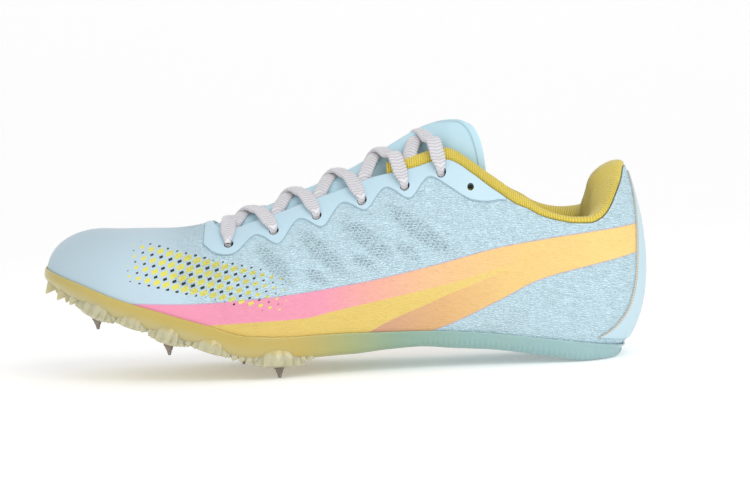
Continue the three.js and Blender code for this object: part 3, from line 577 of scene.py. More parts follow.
def stations(heel_steps, side_steps, toe_steps):
    """Places of wall columns from heel to toe, closer together where the edge turns."""
    heel = 1 - np.cos(np.arange(heel_steps) / heel_steps * math.pi / 2)
    toe = 1 - np.cos((1 - np.arange(toe_steps + 1) / toe_steps) * math.pi / 2)
    side = np.arange(side_steps) / side_steps
    side_start, side_end = HEEL_OVERHANG + HEEL_ROUND, LENGTH - TOE_ROUND
    parts = [
        HEEL_OVERHANG + HEEL_ROUND * heel,
        lerp(side_start, side_end, side),
        LENGTH - TOE_ROUND * toe,
    ]
    return np.concatenate(parts)


def row_share(low, high, t):
    """Rows keep their place low on the wall and close up only towards the open edge."""
    spread = (1 - low - 0.3 * (high - low)) / np.maximum(1 - high, 1e-6)
    power = np.minimum(3, spread)
    closed = low + (1 - low) * t - (1 - high) * t**power
    return np.where(high == 1, lerp(low, 1, t), closed)


# Meshes
def grid_faces(rows, columns, start=0):
    corner = np.arange(rows - 1)[:, None] * columns + np.arange(columns - 1) + start
    corner = corner.reshape(-1)
    return np.stack([corner, corner + 1, corner + columns + 1, corner + columns], axis=-1)


def weld(points, faces):
    """Joins equal points: gives the kept points' numbers and the faces without empty edges."""
    steps_per_mm = 1e4
    keys = np.round(points * steps_per_mm).astype(np.int64)
    _, first, index = np.unique(keys, axis=0, return_index=True, return_inverse=True)
    index = index.reshape(-1)
    kept = []
    for face in index[np.asarray(faces)].tolist():
        ring = [a for a, b in zip(face, face[1:] + face[:1]) if a != b]
        if len(set(ring)) == len(ring) > 2:
            kept.append(ring)
    return first, kept


def shell(outer, inner, faces, fields):
    """A closed shell between two skins that share their faces."""
    first, kept = weld(outer, faces)
    count = len(first)
    edges = {(a, b) for face in kept for a, b in zip(face, face[1:] + face[:1])}
    back = [[i + count for i in reversed(face)] for face in kept]
    walls = [[b, a, a + count, b + count] for a, b in edges if (b, a) not in edges]
    fields = {name: np.tile(values[first], 2) for name, values in fields.items()}
    fields["inside"] = np.repeat([0.0, 1.0], count)
    return np.concatenate([outer[first], inner[first]]), kept + back + sorted(walls), fields


def sheet(outer, inner, fields):
    """A closed shell between two grids of points."""
    flat = {name: values.reshape(-1) for name, values in fields.items()}
    faces = grid_faces(*outer.shape[:2])
    return shell(outer.reshape(-1, 3), inner.reshape(-1, 3), faces, flat)


def closed(points, faces, fields):
    first, kept = weld(points, faces)
    return points[first], kept, {name: values[first] for name, values in fields.items()}


def join(parts):
    """Several (points, faces, fields) as one."""
    points, faces, start = [], [], 0
    for part_points, part_faces, _ in parts:
        points.append(part_points)
        faces.extend([i + start for i in face] for face in part_faces)
        start += len(part_points)
    fields = {name: np.concatenate([part[2][name] for part in parts]) for name in parts[0][2]}
    return np.concatenate(points), faces, fields


pin_low, pin_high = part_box("spike_3")
PIN_S = STUDS["at"][2] * LENGTH
PIN_Y = float(edge_y(np.array(PIN_S), -1)) + STUDS["inset"][2]
SHIFT_X = (pin_low[0] + pin_high[0]) / 2 / MM - (LENGTH / 2 - PIN_S)
SHIFT_Y = (pin_low[1] + pin_high[1]) / 2 / MM - PIN_Y


def to_frame(points):
    """Shoe places as points of the model's frame, in metres."""
    points = np.asarray(points, float)
    x = LENGTH / 2 - points[..., 0] + SHIFT_X
    return np.stack([x, points[..., 1] + SHIFT_Y, points[..., 2]], axis=-1) * MM


def turned_in(mesh):
    """Whether a closed mesh's faces point inwards."""
    mesh.calc_loop_triangles()
    corners = np.empty(len(mesh.loop_triangles) * 3, np.int32)
    mesh.loop_triangles.foreach_get("vertices", corners)
    points = np.empty(len(mesh.vertices) * 3, np.float32)
    mesh.vertices.foreach_get("co", points)
    a, b, c = points.reshape(-1, 3)[corners.reshape(-1, 3)].transpose(1, 0, 2)
    return np.sum(a * np.cross(b, c)) < 0


def add_object(name, data):
    thing = bpy.data.objects.new(name, data)
    bpy.context.scene.collection.objects.link(thing)
    return thing


def make_piece(name, mesh_data, material, nodes, sharp=40):
    """A piece of the shoe from shoe places, standing for the CAD nodes."""
    points, faces, fields = mesh_data
    points = to_frame(points)
    mesh = bpy.data.meshes.new(name)
    mesh.from_pydata(points.tolist(), [], faces)
    if turned_in(mesh):
        mesh.flip_normals()
    for key, values in fields.items():
        attribute = mesh.attributes.new(key, "FLOAT", "POINT")
        attribute.data.foreach_set("value", np.asarray(values, np.float32))
    mesh.shade_smooth()
    mesh.set_sharp_from_angle(angle=math.radians(sharp))
    mesh.materials.append(material)
    piece = add_object(name, mesh)
    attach(piece, "root")
    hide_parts(*nodes)
    return piece


# Materials
def srgb(text):
    values = [int(text[i : i + 2], 16) / 255 for i in (0, 2, 4)]
    linear = [v / 12.92 if v <= 0.04045 else ((v + 0.055) / 1.055) ** 2.4 for v in values]
    return (*linear, 1.0)


class Shade:
    """A material's nodes, made by short calls that give sockets."""

    def __init__(self, name, **settings):
        self.material = bpy.data.materials.new(name)
        self.material.use_nodes = True
        self.tree = self.material.node_tree
        self.tree.nodes.clear()
        self.surface = self.tree.nodes.new("ShaderNodeBsdfPrincipled")
        output = self.tree.nodes.new("ShaderNodeOutputMaterial")
        self.tree.links.new(self.surface.outputs[0], output.inputs[0])
        for key, value in settings.items():
            title = key.replace("_", " ").title().replace("Ior", "IOR")
            self.put(self.surface.inputs[title], value)

    def put(self, socket, value):
        if isinstance(value, bpy.types.NodeSocket):
            self.tree.links.new(value, socket)
        elif isinstance(value, str):
            socket.default_value = srgb(value)
        else:
            socket.default_value = value

    def node(self, kind, inputs, output=0, **settings):
        node = self.tree.nodes.new("ShaderNode" + kind)
        for key, value in settings.items():
            setattr(node, key, value)
        for key, value in inputs.items():
            self.put(node.inputs[key], value)
        return node.outputs[output]

    def field(self, name):
        return self.node("Attribute", {}, "Fac", attribute_name=name)

    def math(self, operation, *values):
        return self.node("Math", dict(enumerate(values)), operation=operation)

    def times(self, a, b):
        return self.math("MULTIPLY", a, b)

    def plus(self, a, b):
        return self.math("ADD", a, b)

    def minus(self, a, b):
        return self.math("SUBTRACT", a, b)

    def absolute(self, value):
        return self.math("ABSOLUTE", value)

    def sine(self, value):
        return self.math("SINE", value)

    def from_middle(self, value):
        """Distance from the middle of the whole step that the value is in."""
        return self.absolute(self.minus(self.math("FRACT", value), 0.5))

    def scaled(self, value, factor, offset=0.0):
        return self.node("Math", {0: value, 1: factor, 2: offset}, operation="MULTIPLY_ADD")

    def between(self, value, low, high, start=0.0, end=1.0):
        inputs = {"Value": value, 1: low, 2: high, 3: start, 4: end}
        return self.node("MapRange", inputs, interpolation_type="SMOOTHSTEP")

    def mix(self, share, a, b):
        return self.node("Mix", {0: share, 6: a, 7: b}, 2, data_type="RGBA")

    def vector(self, x, y, z=0.0):
        return self.node("CombineXYZ", {0: x, 1: y, 2: z})

    def noise(self, place, scale, detail=2.0, distortion=0.0):
        inputs = {"Vector": place, "Scale": scale, "Detail": detail, "Distortion": distortion}
        return self.node("TexNoise", inputs)

    def cells(self, place, scale, feature="F1", randomness=1.0):
        inputs = {"Vector": place, "Scale": scale, "Randomness": randomness}
        return self.node("TexVoronoi", inputs, "Distance", feature=feature)

    def ramp(self, value, *stops):
        node = self.tree.nodes.new("ShaderNodeValToRGB")
        elements = node.color_ramp.elements
        while len(elements) < len(stops):
            elements.new(0.5)
        for element, (position, color) in zip(elements, stops):
            element.position = position
            element.color = srgb(color)
        self.put(node.inputs[0], value)
        return node.outputs[0]

    def object_place(self):
        return self.node("TexCoord", {}, "Object")

    def bump(self, height, depth, below=None):
        """Relief of depth millimetres where height goes from 0 to 1."""
        inputs = {"Height": height, "Distance": depth * MM}
        if below is not None:
            inputs["Normal"] = below
        return self.node("Bump", inputs)

    def finish(self, color, normal=None, roughness=None):
        self.put(self.surface.inputs["Base Color"], color)
        if normal is not None:
            self.put(self.surface.inputs["Normal"], normal)
        if roughness is not None:
            self.put(self.surface.inputs["Roughness"], roughness)
        return self.material


def knit_upper():
    """Pale blue knit with a bonded toe film, colour band, see-through patches and print, and
    painted shade towards the toe's end, below the band and in the knit's grooves.
    """
    m = Shade("knit upper", specular_ior_level=0.35, sheen_weight=0.15, sheen_roughness=0.5)
    along, climb, s = m.field("along"), m.field("climb"), m.field("s")
    band_top, band_low = m.field("band_top"), m.field("band_low")
    base = m.mix(m.field("toe"), "C4E0EB", "B6CCD8")
    # Painted shade: the knit darkens towards the toe's front end.
    base = m.mix(m.scaled(m.between(s, 232.0, 262.0), 0.4), base, "A0B3BC")
    # Painted shade on the knit below the band, towards the sole.
    painted_shade_below_band = m.times(m.between(band_low, 0.0, -14.0), m.between(s, 50.0, 90.0))
    base = m.mix(m.scaled(painted_shade_below_band, 0.6), base, "AFC6CE")
    cloud = m.noise(m.object_place(), 22.0, 3.0)
    base = m.mix(m.scaled(cloud, 0.3), base, "CBE2EB")

    patch = m.field("patch")
    see_through = m.times(patch, knit_dashes(m, along, climb))
    base = m.mix(m.scaled(patch, 0.3), base, "ADC4CC")
    base = m.mix(m.scaled(see_through, 0.36), base, "7F959E")

    in_band = m.times(m.between(band_top, 0.2, -0.2), m.between(band_low, -0.2, 0.2))
    base = m.mix(in_band, base, band_colours(m, s))
    base = m.mix(m.scaled(band_rim(m, band_top, band_low), 0.45), base, "B7A0BE")

    lozenges, dots = print_masks(m)
    base = m.mix(lozenges, base, "E0DA62")
    base = m.mix(dots, base, "1D1E22")

    quarter = m.field("quarter")
    crackle = crackle_cells(m, along, climb)
    rough_part = m.times(quarter, m.scaled(in_band, -0.65, 1.0))
    relief = m.bump(m.noise(m.object_place(), 2600.0, 2.0), 0.035)
    relief = m.bump(m.times(crackle, rough_part), 0.26, relief)
    relief = m.bump(m.scaled(see_through, -1.0), 0.2, relief)
    # Painted shade: the knit darkens in the grooves between its cells.
    groove = m.times(m.minus(1.0, crackle), rough_part)
    base = m.mix(m.scaled(groove, 0.12), base, "8FB2C2")
    base = m.mix(m.field("inside"), base, "C9D3D6")
    return m.finish(base, relief, m.scaled(quarter, 0.2, 0.5))


def knit_dashes(m, along, climb):
    """Short dashes in rows, each row set off from the one below."""
    row_pitch, dash_pitch, set_off = 1.35, 2.1, 0.37
    rows = m.scaled(climb, 1 / row_pitch)
    dashes = m.plus(m.scaled(along, 1 / dash_pitch), m.scaled(m.math("FLOOR", rows), set_off))
    in_row = m.between(m.from_middle(rows), 0.34, 0.14)
    in_dash = m.between(m.from_middle(dashes), 0.42, 0.22)
    return m.times(in_row, in_dash)


def band_colours(m, s):
    """The band's blend from heel to toe, with the stripe inside it and the wedge below that."""
    fade = 0.25
    share = m.scaled(s, 1 / LENGTH)
    band = m.ramp(
        share,
        (0.03, "F6D482"),
        (0.2, "F0CB80"),
        (0.36, "EFBF8C"),
        (0.46, "F0AB9C"),
        (0.54, "EE98B0"),
        (0.9, "E88FAF"),
    )
    wedge = m.ramp(share, (0.1, "EFCB7F"), (0.24, "EEC67F"), (0.34, "E1B278"), (0.46, "CF9C82"))
    stripe = m.ramp(share, (0.2, "EFCF7E"), (0.4, "E4C76C"), (0.7, "D9BC64"))
    stripe_end = m.between(s, 50.0, 74.0)
    in_stripe = m.times(m.between(m.field("stripe_top"), fade, -fade), stripe_end)
    under_stripe = m.times(m.between(m.field("stripe_low"), fade, -fade), stripe_end)
    return m.mix(under_stripe, m.mix(in_stripe, band, stripe), wedge)


def band_rim(m, band_top, band_low):
    """The thin line along both edges of the band."""
    edge = m.math("MINIMUM", m.absolute(band_top), m.absolute(band_low))
    rim = m.times(m.between(edge, 0.55, 0.2), m.between(band_top, 0.6, 0.3))
    return m.times(rim, m.between(band_low, -0.6, -0.3))


def crackle_cells(m, along, climb):
    """Long lying cells of the knit, with 0 in the grooves between them."""
    u, w = m.scaled(along, 0.42), m.scaled(climb, 1.35)
    wander = m.noise(m.vector(u, w), 1.2, 2.0)
    place = m.vector(m.plus(u, wander), m.plus(w, m.scaled(wander, 0.8)))
    return m.between(m.cells(place, 1.0, "DISTANCE_TO_EDGE"), 0.0, 0.22)


def print_masks(m):
    """A slanted field of small lozenges with dark dots between them, on the forefoot's side."""
    spread = m.plus(m.from_middle(m.field("print_u")), m.from_middle(m.field("print_w")))
    size = m.field("print_size")
    lozenges = m.between(m.minus(size, spread), -0.02, 0.03)
    corner = m.minus(1.0, spread)
    dots = m.between(m.minus(m.scaled(size, 0.55), corner), -0.02, 0.03)
    shown = m.between(size, 0.06, 0.09)
    return m.times(lozenges, shown), m.times(dots, shown)


def film_overlay():
    """Smooth pale film with a fine groove inside its edge."""
    m = Shade("film overlay", specular_ior_level=0.45, coat_weight=0.12, coat_roughness=0.35)
    edge = m.field("edge")
    groove = m.between(edge, 0.45, 0.25)
    cloud = m.noise(m.object_place(), 30.0, 3.0)
    base = m.mix(m.scaled(cloud, 0.4), "BAD6E3", "C4DEE9")
    base = m.mix(m.scaled(groove, 0.6), base, "7897A4")
    grain = m.noise(m.object_place(), 1500.0, 2.0)
    relief = m.bump(grain, 0.02)
    relief = m.bump(m.scaled(groove, -1.0), 0.12, relief)
    return m.finish(base, relief, m.scaled(cloud, 0.1, 0.4))


def heel_film():
    """The backstay: smooth film with a thin beige cord along each edge."""
    m = Shade("heel film", specular_ior_level=0.45, coat_weight=0.1, coat_roughness=0.35)
    edge = m.field("edge")
    cord = m.between(m.absolute(m.minus(edge, 0.55)), 0.6, 0.4)
    base = m.mix(cord, "C0DAE4", "D2C4AE")
    twist = m.sine(m.scaled(m.field("climb"), 5.2))
    base = m.mix(m.times(cord, m.between(twist, 0.2, 0.8)), base, "B5A795")
    grain = m.noise(m.object_place(), 1500.0, 2.0)
    relief = m.bump(cord, 0.3, m.bump(grain, 0.02))
    return m.finish(base, relief, 0.42)


def lining_knit():
    """Ribbed yellow knit: ribs cross the collar's edge, with fine loops along each, and painted
    shade between the ribs.
    """
    m = Shade("lining knit", sheen_weight=0.4, sheen_roughness=0.6, specular_ior_level=0.2)
    along, around = m.field("along"), m.field("around")
    rib = m.between(m.absolute(m.sine(m.scaled(along, math.pi / 1.1))), 0.0, 0.9)
    loop = m.absolute(m.sine(m.scaled(around, math.pi / 0.8)))
    cloud = m.noise(m.object_place(), 60.0, 3.0)
    base = m.mix(m.scaled(cloud, 0.5), "EBD452", "DCC23E")
    # Painted shade: darker between the ribs.
    base = m.mix(m.scaled(m.minus(1.0, rib), 0.35), base, "A88C2C")
    relief = m.bump(rib, 0.25)
    relief = m.bump(loop, 0.12, relief)
    return m.finish(base, relief, 0.85)


def tongue_fabric():
    """Smooth pale blue microfibre with a bound edge."""
    m = Shade("tongue fabric", specular_ior_level=0.35, sheen_weight=0.15, sheen_roughness=0.5)
    cloud = m.noise(m.object_place(), 26.0, 3.0)
    base = m.mix(m.scaled(cloud, 0.4), "B5D6E2", "BFDDE8")
    seam = m.between(m.absolute(m.minus(m.field("edge"), 2.6)), 0.4, 0.1)
    base = m.mix(m.scaled(seam, 0.4), base, "86AFC0")
    grain = m.noise(m.object_place(), 1800.0, 2.0)
    relief = m.bump(m.scaled(seam, -1.0), 0.25, m.bump(grain, 0.03))
    return m.finish(base, relief, 0.55)


def insole_cloth():
    m = Shade("insole cloth", specular_ior_level=0.2, sheen_weight=0.2)
    place = m.vector(m.field("s"), m.field("across"))
    weave = m.cells(place, 1.1, randomness=0.1)
    base = m.mix(m.scaled(weave, 0.6), "EFDD78", "CFB954")
    return m.finish(base, m.bump(weave, 0.2), 0.9)


def moulded_plate():
    """Milky moulded plate, from yellow at the toe through green to teal at the heel."""
    m = Shade(
        "moulded plate",
        specular_ior_level=0.5,
        coat_weight=0.3,
        coat_roughness=0.15,
        subsurface_weight=0.25,
        subsurface_scale=0.003,
        subsurface_radius=(1.0, 0.9, 0.7),
    )
    share = m.scaled(m.field("s"), 1 / LENGTH)
    body = m.ramp(
        share,
        (0.05, "95B8BD"),
        (0.3, "85ADAD"),
        (0.42, "7D9F8C"),
        (0.5, "9DA56E"),
        (0.58, "BCA54E"),
        (0.8, "BEA74C"),
        (1.0, "BEAC62"),
    )
    cloud = m.noise(m.object_place(), 40.0, 3.0)
    body = m.mix(m.scaled(cloud, 0.15), body, "C2C4A0")
    deep = m.between(m.field("down"), 0.1, 0.6)
    front = m.between(m.field("s"), 150.0, 215.0)
    body = m.mix(m.times(m.scaled(deep, 0.6), front), body, "B9B285")
    speck = m.cells(m.vector(m.field("s"), m.field("across")), 0.55)
    tread = m.times(m.between(speck, 0.55, 0.25), m.between(m.field("down"), 0.9, 1.0))
    grain = m.noise(m.object_place(), 900.0, 2.0)
    relief = m.bump(tread, 0.35, m.bump(grain, 0.02))
    return m.finish(body, relief, m.scaled(cloud, 0.15, 0.28))


def milky_stud():
    """Translucent cream of the stud blocks and teeth."""
    m = Shade(
        "milky stud",
        specular_ior_level=0.5,
        coat_weight=0.4,
        coat_roughness=0.12,
        subsurface_weight=0.4,
        subsurface_scale=0.003,
        subsurface_radius=(1.0, 0.9, 0.7),
    )
    cloud = m.noise(m.object_place(), 120.0, 3.0)
    base = m.mix(cloud, "C6C2A2", "AFAA88")
    base = m.mix(m.scaled(m.field("tip"), 0.4), base, "C0B16A")
    base = m.mix(m.between(m.field("rise"), 1.5, 5.5), base, "BDAA5C")
    grain = m.noise(m.object_place(), 700.0, 2.0)
    return m.finish(base, m.bump(grain, 0.05), 0.3)


def pin_steel():
    m = Shade("pin steel", metallic=0.9)
    cloud = m.noise(m.object_place(), 500.0, 3.0)
    base = m.mix(cloud, "8B817A", "A69C92")
    rings = m.sine(m.scaled(m.field("down"), 18.0))
    return m.finish(base, m.bump(rings, 0.04), m.scaled(cloud, 0.25, 0.25))


def shaded_hole_wall():
    """The dark wall of an eyelet: painted shade inside the hole."""
    m = Shade("shaded hole wall", roughness=0.8)
    cloud = m.noise(m.object_place(), 300.0, 2.0)
    # Painted shade: the eyelet's wall is dark to stand for the shade inside the hole.
    base = m.mix(cloud, "2E3A34", "44514A")
    return m.finish(base, m.bump(cloud, 0.05))


def lace_braid():
    """Off-white braided cord, with painted shade in the braid's troughs."""
    m = Shade("lace braid", sheen_weight=0.35, sheen_roughness=0.6, specular_ior_level=0.2)
    u, x = m.field("along"), m.absolute(m.field("across"))
    turn = 2 * math.pi / BRAID_PITCH
    chevron = m.sine(m.plus(m.scaled(u, turn), m.scaled(x, BRAID_SLANT)))
    ply = m.sine(m.minus(m.scaled(u, 4 * turn), m.scaled(x, 9.0)))
    # Painted shade: darker in the troughs of the plait.
    base = m.mix(m.between(chevron, -1.0, 0.2), "C8C6CB", "E6E4E8")
    base = m.mix(m.scaled(m.between(ply, 0.0, 1.0), 0.15), base, "C4C2C6")
    relief = m.bump(ply, 0.06)
    return m.finish(base, relief, 0.85)


# Fields of the upper
def lengths_along(points, axis=0):
    """Distance from the first point, along one axis of a grid of points."""
    steps = np.linalg.norm(np.diff(points, axis=axis), axis=-1)
    start = np.zeros_like(np.take(steps, [0], axis=axis))
    return np.concatenate([start, np.cumsum(steps, axis=axis)], axis=axis)


def girth(s, side):
    """Distance round the sole's edge from the back of the heel."""
    places = np.linspace(HEEL_OVERHANG, LENGTH, 2000)
    run = lengths_along(np.stack([places, edge_y(places, side)], axis=-1))
    return np.interp(s, places, run)


def climb_of(wall, v):
    """Distance up the wall from the sole's edge."""
    shares = np.linspace(0, 1, 40)
    column = Wall(wall.s[:, :1], wall.side[:, :1])
    run = lengths_along(np.stack(column.bezier(shares[None, :]), axis=-1), axis=1)
    return np.stack([np.interp(row, shares, lengths) for row, lengths in zip(v, run)])


def patch_field(s, z):
    value = np.zeros_like(s)
    for row in zip(*PATCHES.values()):
        middle_s, middle_z, length, width, slant = row
        turn = math.radians(slant)
        ds, dz = s - middle_s, z - middle_z
        along = (ds * math.cos(turn) + dz * math.sin(turn)) / (length / 2)
        across = (-ds * math.sin(turn) + dz * math.cos(turn)) / (width / 2)
        value = np.maximum(value, smooth(1.15, 0.6, np.sqrt(along**2 + across**2)))
    return value


def crease_depth(s, z):
    depth = np.zeros_like(s)
    for s0, z0, s1, z1, width, deep in zip(*CREASES.values()):
        ds, dz = s1 - s0, z1 - z0
        t = np.clip(((s - s0) * ds + (z - z0) * dz) / (ds * ds + dz * dz), 0, 1)
        away = np.hypot(s - s0 - t * ds, z - z0 - t * dz)
        taper = 1 - (2 * t - 1) ** 4
        depth += deep * taper * np.exp(-((away / width) ** 2))
    return depth


def print_fields(s, z):
    """Chart of the printed field: columns, rows and each lozenge's size."""
    largest = 0.46
    ds, dz = PRINT_END[0] - PRINT_START[0], PRINT_END[1] - PRINT_START[1]
    length = math.hypot(ds, dz)
    along = ((s - PRINT_START[0]) * ds + (z - PRINT_START[1]) * dz) / length
    across = ((z - PRINT_START[1]) * ds - (s - PRINT_START[0]) * dz) / length
    u = (along + 0.5 * across) / PRINT_PITCH
    w = across / PRINT_PITCH + PRINT_ROWS / 2
    share = np.clip(along / length, 0, 1)
    size = largest * np.sin(math.pi * share**0.75) ** 0.7
    inside = (along > 0) & (along < length) & (w > 0.02) & (w < PRINT_ROWS - 0.02)
    return {"print_u": u, "print_w": w, "print_size": np.where(inside, size, 0)}


def upper_fields(wall, v, places):
    s, z = places[..., 0], places[..., 2]
    no_band = 9
    in_front = s > BAND["s"][-1]
    return {
        "s": s,
        "along": girth(wall.s[:, 0], wall.side[0, 0])[:, None],
        "climb": climb_of(wall, v),
        "toe": smooth(188, 232, s),
        "quarter": 1 - smooth(196, 226, s - 0.3 * (z - 40)),
        "patch": patch_field(s, z),
        "band_top": np.where(in_front, no_band, z - band_edges[0](s)),
        "band_low": z - band_edges[1](s),
        "stripe_top": z - stripe_edges[0](s),
        "stripe_low": z - stripe_edges[1](s),
        **print_fields(s, z),
    }


def collect(grids):
    """Grids of both sides as one list of points, faces and fields."""
    outer, inner, faces, start = [], [], [], 0
    fields = {}
    for side, out_grid, in_grid, grid_fields in grids:
        rows, columns = out_grid.shape[:2]
        quads = grid_faces(rows, columns, start)
        faces.append(quads if side == LATERAL else quads[:, ::-1])
        outer.append(out_grid.reshape(-1, 3))
        inner.append(in_grid.reshape(-1, 3))
        for name, values in grid_fields.items():
            fields.setdefault(name, []).append(np.broadcast_to(values, (rows, columns)).reshape(-1))
        start += rows * columns
    fields = {name: np.concatenate(values) for name, values in fields.items()}
    return np.concatenate(outer), np.concatenate(inner), np.concatenate(faces), fields


def around_throat(places, near, offsets):
    """Places with those near the throat's front replaced by set distances from it."""
    return np.sort(np.concatenate([places[~near], THROAT_FRONT + np.array(offsets)]))


def upper_piece(dark):
    rows = 64
    places = stations(24, 130, 24)
    near = np.abs(np.abs(places - THROAT_FRONT) - THROAT_STEP) < 0.5
    places = around_throat(places, near, (-6, -3, -1.2, -THROAT_STEP, THROAT_STEP, 2))
    grids = []
    for side in (LATERAL, MEDIAL):
        wall = Wall(places[:, None], side)
        top = Wall(places, side).topline()[:, None]
        v = row_share(0.0, top, np.linspace(0, 1, rows + 1)[None, :])
        surface = wall.place(v)
        depth = crease_depth(surface[..., 0], surface[..., 2])
        depth = depth * smooth(0, 0.06, v) * smooth(0, 0.05, top - v)
        outer = wall.place(v, depth)
        inner = wall.place(v, UPPER_WALL)
        grids.append((side, outer, inner, upper_fields(wall, v, surface)))
    piece = make_piece("upper_knit", shell(*collect(grids)), knit_upper(), ["upper"])
    cut_eyelets(piece, dark)
    return piece


# Eyelets
def column(s, side):
    """One wall column."""
    return Wall(np.array([s]), side)


def eyelet_place(index, side):
    s = EYELETS["at"][index] * LENGTH
    height = topline_height(s, side) - EYELETS["drop"][index]
    return s, float(column(s, side).at_height(lambda _: height)[0])


def surface_point(s, side, v, inset=0.0):
    return column(s, side).place(np.array([v]), inset)[0]


def cylinder(start, end, radius, facets=20):
    """A closed rod between two frame points, as mesh data in the frame."""
    way = (end - start).normalized()
    turn = way.to_track_quat("Z", "Y").to_matrix()
    points, faces = [], []
    for centre in (start, end):
        for i in range(facets):
            angle = 2 * math.pi * i / facets
            points.append(centre + turn @ Vector((math.cos(angle), math.sin(angle), 0)) * radius)
    for i in range(facets):
        j = (i + 1) % facets
        faces.append([i, j, j + facets, i + facets])
    faces.append(list(range(facets))[::-1])
    faces.append(list(range(facets, 2 * facets)))
    return points, faces


def cut_eyelets(piece, dark):
    """Round holes through the piece at every eyelet, their walls dark with painted shade."""
    reach = 6
    points, faces = [], []
    for index in range(EYELET_COUNT):
        radius = FREE_EYELET_RADIUS if index == EYELET_COUNT - 1 else EYELET_RADIUS
        for side in (LATERAL, MEDIAL):
            s, v = eyelet_place(index, side)
            ends = [Vector(to_frame(surface_point(s, side, v, d))) for d in (-reach, reach)]
            rod_points, rod_faces = cylinder(*ends, radius * MM)
            faces.extend([i + len(points) for i in face] for face in rod_faces)
            points.extend(rod_points)
    mesh = bpy.data.meshes.new("eyelet cutters")
    mesh.from_pydata(points, [], faces)
    mesh.materials.append(dark)
    cutter = add_object("eyelet_cutters", mesh)
    modifier = piece.modifiers.new("eyelets", "BOOLEAN")
    modifier.operation = "DIFFERENCE"
    modifier.solver = "EXACT"
    modifier.material_mode = "TRANSFER"
    modifier.object = cutter
    bake_modifiers(piece)
    bpy.data.objects.remove(cutter)
    bpy.data.meshes.remove(mesh)


def bake_modifiers(piece):
    """Replaces a piece's mesh by what its modifiers make of it."""
    graph = bpy.context.evaluated_depsgraph_get()
    baked = bpy.data.meshes.new_from_object(piece.evaluated_get(graph))
    old = piece.data
    piece.modifiers.clear()
    piece.data = baked
    baked.name = old.name + "_baked"
    bpy.data.meshes.remove(old)


def eyestay_drop(s):
    at = s / LENGTH
    phase = (SCALLOP_FIRST - at) / SCALLOP_PITCH
    scallops = SCALLOP_CREST + SCALLOP_SWING * scallop_drop(phase - np.floor(phase))
    last_crest = SCALLOP_FIRST - SCALLOP_COUNT * SCALLOP_PITCH
    drop = np.where(at >= SCALLOP_FIRST, toe_drop(at), scallops)
    return np.where(at <= last_crest, lobe_drop(at), drop)


def rounded_rim(edge, wall, radius=0.7):
    """Thickness of a film that rounds off towards its edge."""
    least = 0.25
    t = np.clip(edge / radius, 0, 1)
    return wall * lerp(least, 1, np.sqrt(1 - (1 - t) ** 2))


def eyestay_piece(dark):
    rows = 22
    blur = (-3, -1.5, 0, 1.5, 3)
    unbounded = 99
    places = np.linspace(EYESTAY_BACK, EYESTAY_FRONT, 240)
    near = np.abs(places - THROAT_FRONT) < 0.25
    places = around_throat(places, near, (-THROAT_STEP, THROAT_STEP))
    drop = sum(eyestay_drop(places + shift) for shift in blur) / len(blur)
    t = 0.5 - 0.5 * np.cos(math.pi * np.linspace(0, 1, rows + 1))
    ends = np.minimum(EYESTAY_FRONT - places, places - EYESTAY_BACK)[:, None]
    grids = []
    for side in (LATERAL, MEDIAL):
        wall = Wall(places, side)
        low = wall.at_height(lambda s: topline_height(s, side) - drop)
        top = wall.topline()
        high = np.where(top == 1, 1, top - wall.step(top, GAP))
        wall = Wall(places[:, None], side)
        v = row_share(low[:, None], high[:, None], t[None, :])
        run = climb_of(wall, v)
        from_low = run - run[:, :1]
        from_top = np.where(top[:, None] == 1, unbounded, run[:, -1:] - run)
        slant = np.abs(np.gradient(from_low[:, -1], places))[:, None]
        from_low = from_low / np.sqrt(1 + np.minimum(slant, 2) ** 2)
        edge = np.minimum(np.minimum(from_low, from_top), ends)
        outer = wall.place(v, -FILM_GAP - rounded_rim(edge, EYESTAY_WALL))
        grids.append((side, outer, wall.place(v, -FILM_GAP), {"edge": np.minimum(from_low, ends)}))
    data = shell(*collect(grids))
    piece = make_piece("eyestay_film", data, film_overlay(), ["eyestay"])
    cut_eyelets(piece, dark)
    return piece


def heel_strip_piece():
    up_steps, across_steps = 90, 48
    end_seam = 0.2
    back = column(HEEL_OVERHANG, LATERAL)
    low, high = [float(back.at_height(lambda _: z)[0]) for z in (HEEL_STRIP_FOOT, HEEL_STRIP_TOP)]
    up = np.linspace(0, 1, up_steps + 1)[:, None]
    share = np.sin(np.linspace(-1, 1, across_steps + 1) * math.pi / 2)[None, :]
    turn = np.radians(strip_turn(up) * np.abs(share))
    places = HEEL_OVERHANG + HEEL_ROUND * (1 - np.cos(turn))
    wall = Wall(places, np.where(share < 0, LATERAL, MEDIAL))
    v = lerp(low, high, up) * np.ones_like(share)
    middle = wall.place(v)
    run = lengths_along(middle, axis=1)
    sides = np.minimum(run, run[:, -1:] - run)
    height = lengths_along(middle[:, across_steps // 2])[:, None] * np.ones_like(v)
    edge = np.minimum(sides, np.minimum(height, height[-1] - height) + end_seam)
    outer = wall.place(v, -FILM_GAP - rounded_rim(edge, HEEL_STRIP_WALL))
    data = sheet(outer, wall.place(v, -FILM_GAP), {"edge": sides, "climb": height})
    return make_piece("heel_strip_film", data, heel_film(), ["heel_strip"])


# The collar lining
def rounded_ring(section, rounds=2):
    """Corner cutting of closed sections: (sections, points, 3) in and out."""
    for _ in range(rounds):
        ahead = np.roll(section, -1, axis=1)
        cut = np.stack([0.75 * section + 0.25 * ahead, 0.25 * section + 0.75 * ahead], axis=2)
        section = cut.reshape(section.shape[0], -1, 3)
    return section


def pad_at(s):
    sides = lerp(1.8, 4, 1 - smooth(0.2, 0.32, s / LENGTH))
    return lerp(COLLAR_PAD, sides, smooth(0.05, 0.2, s / LENGTH))


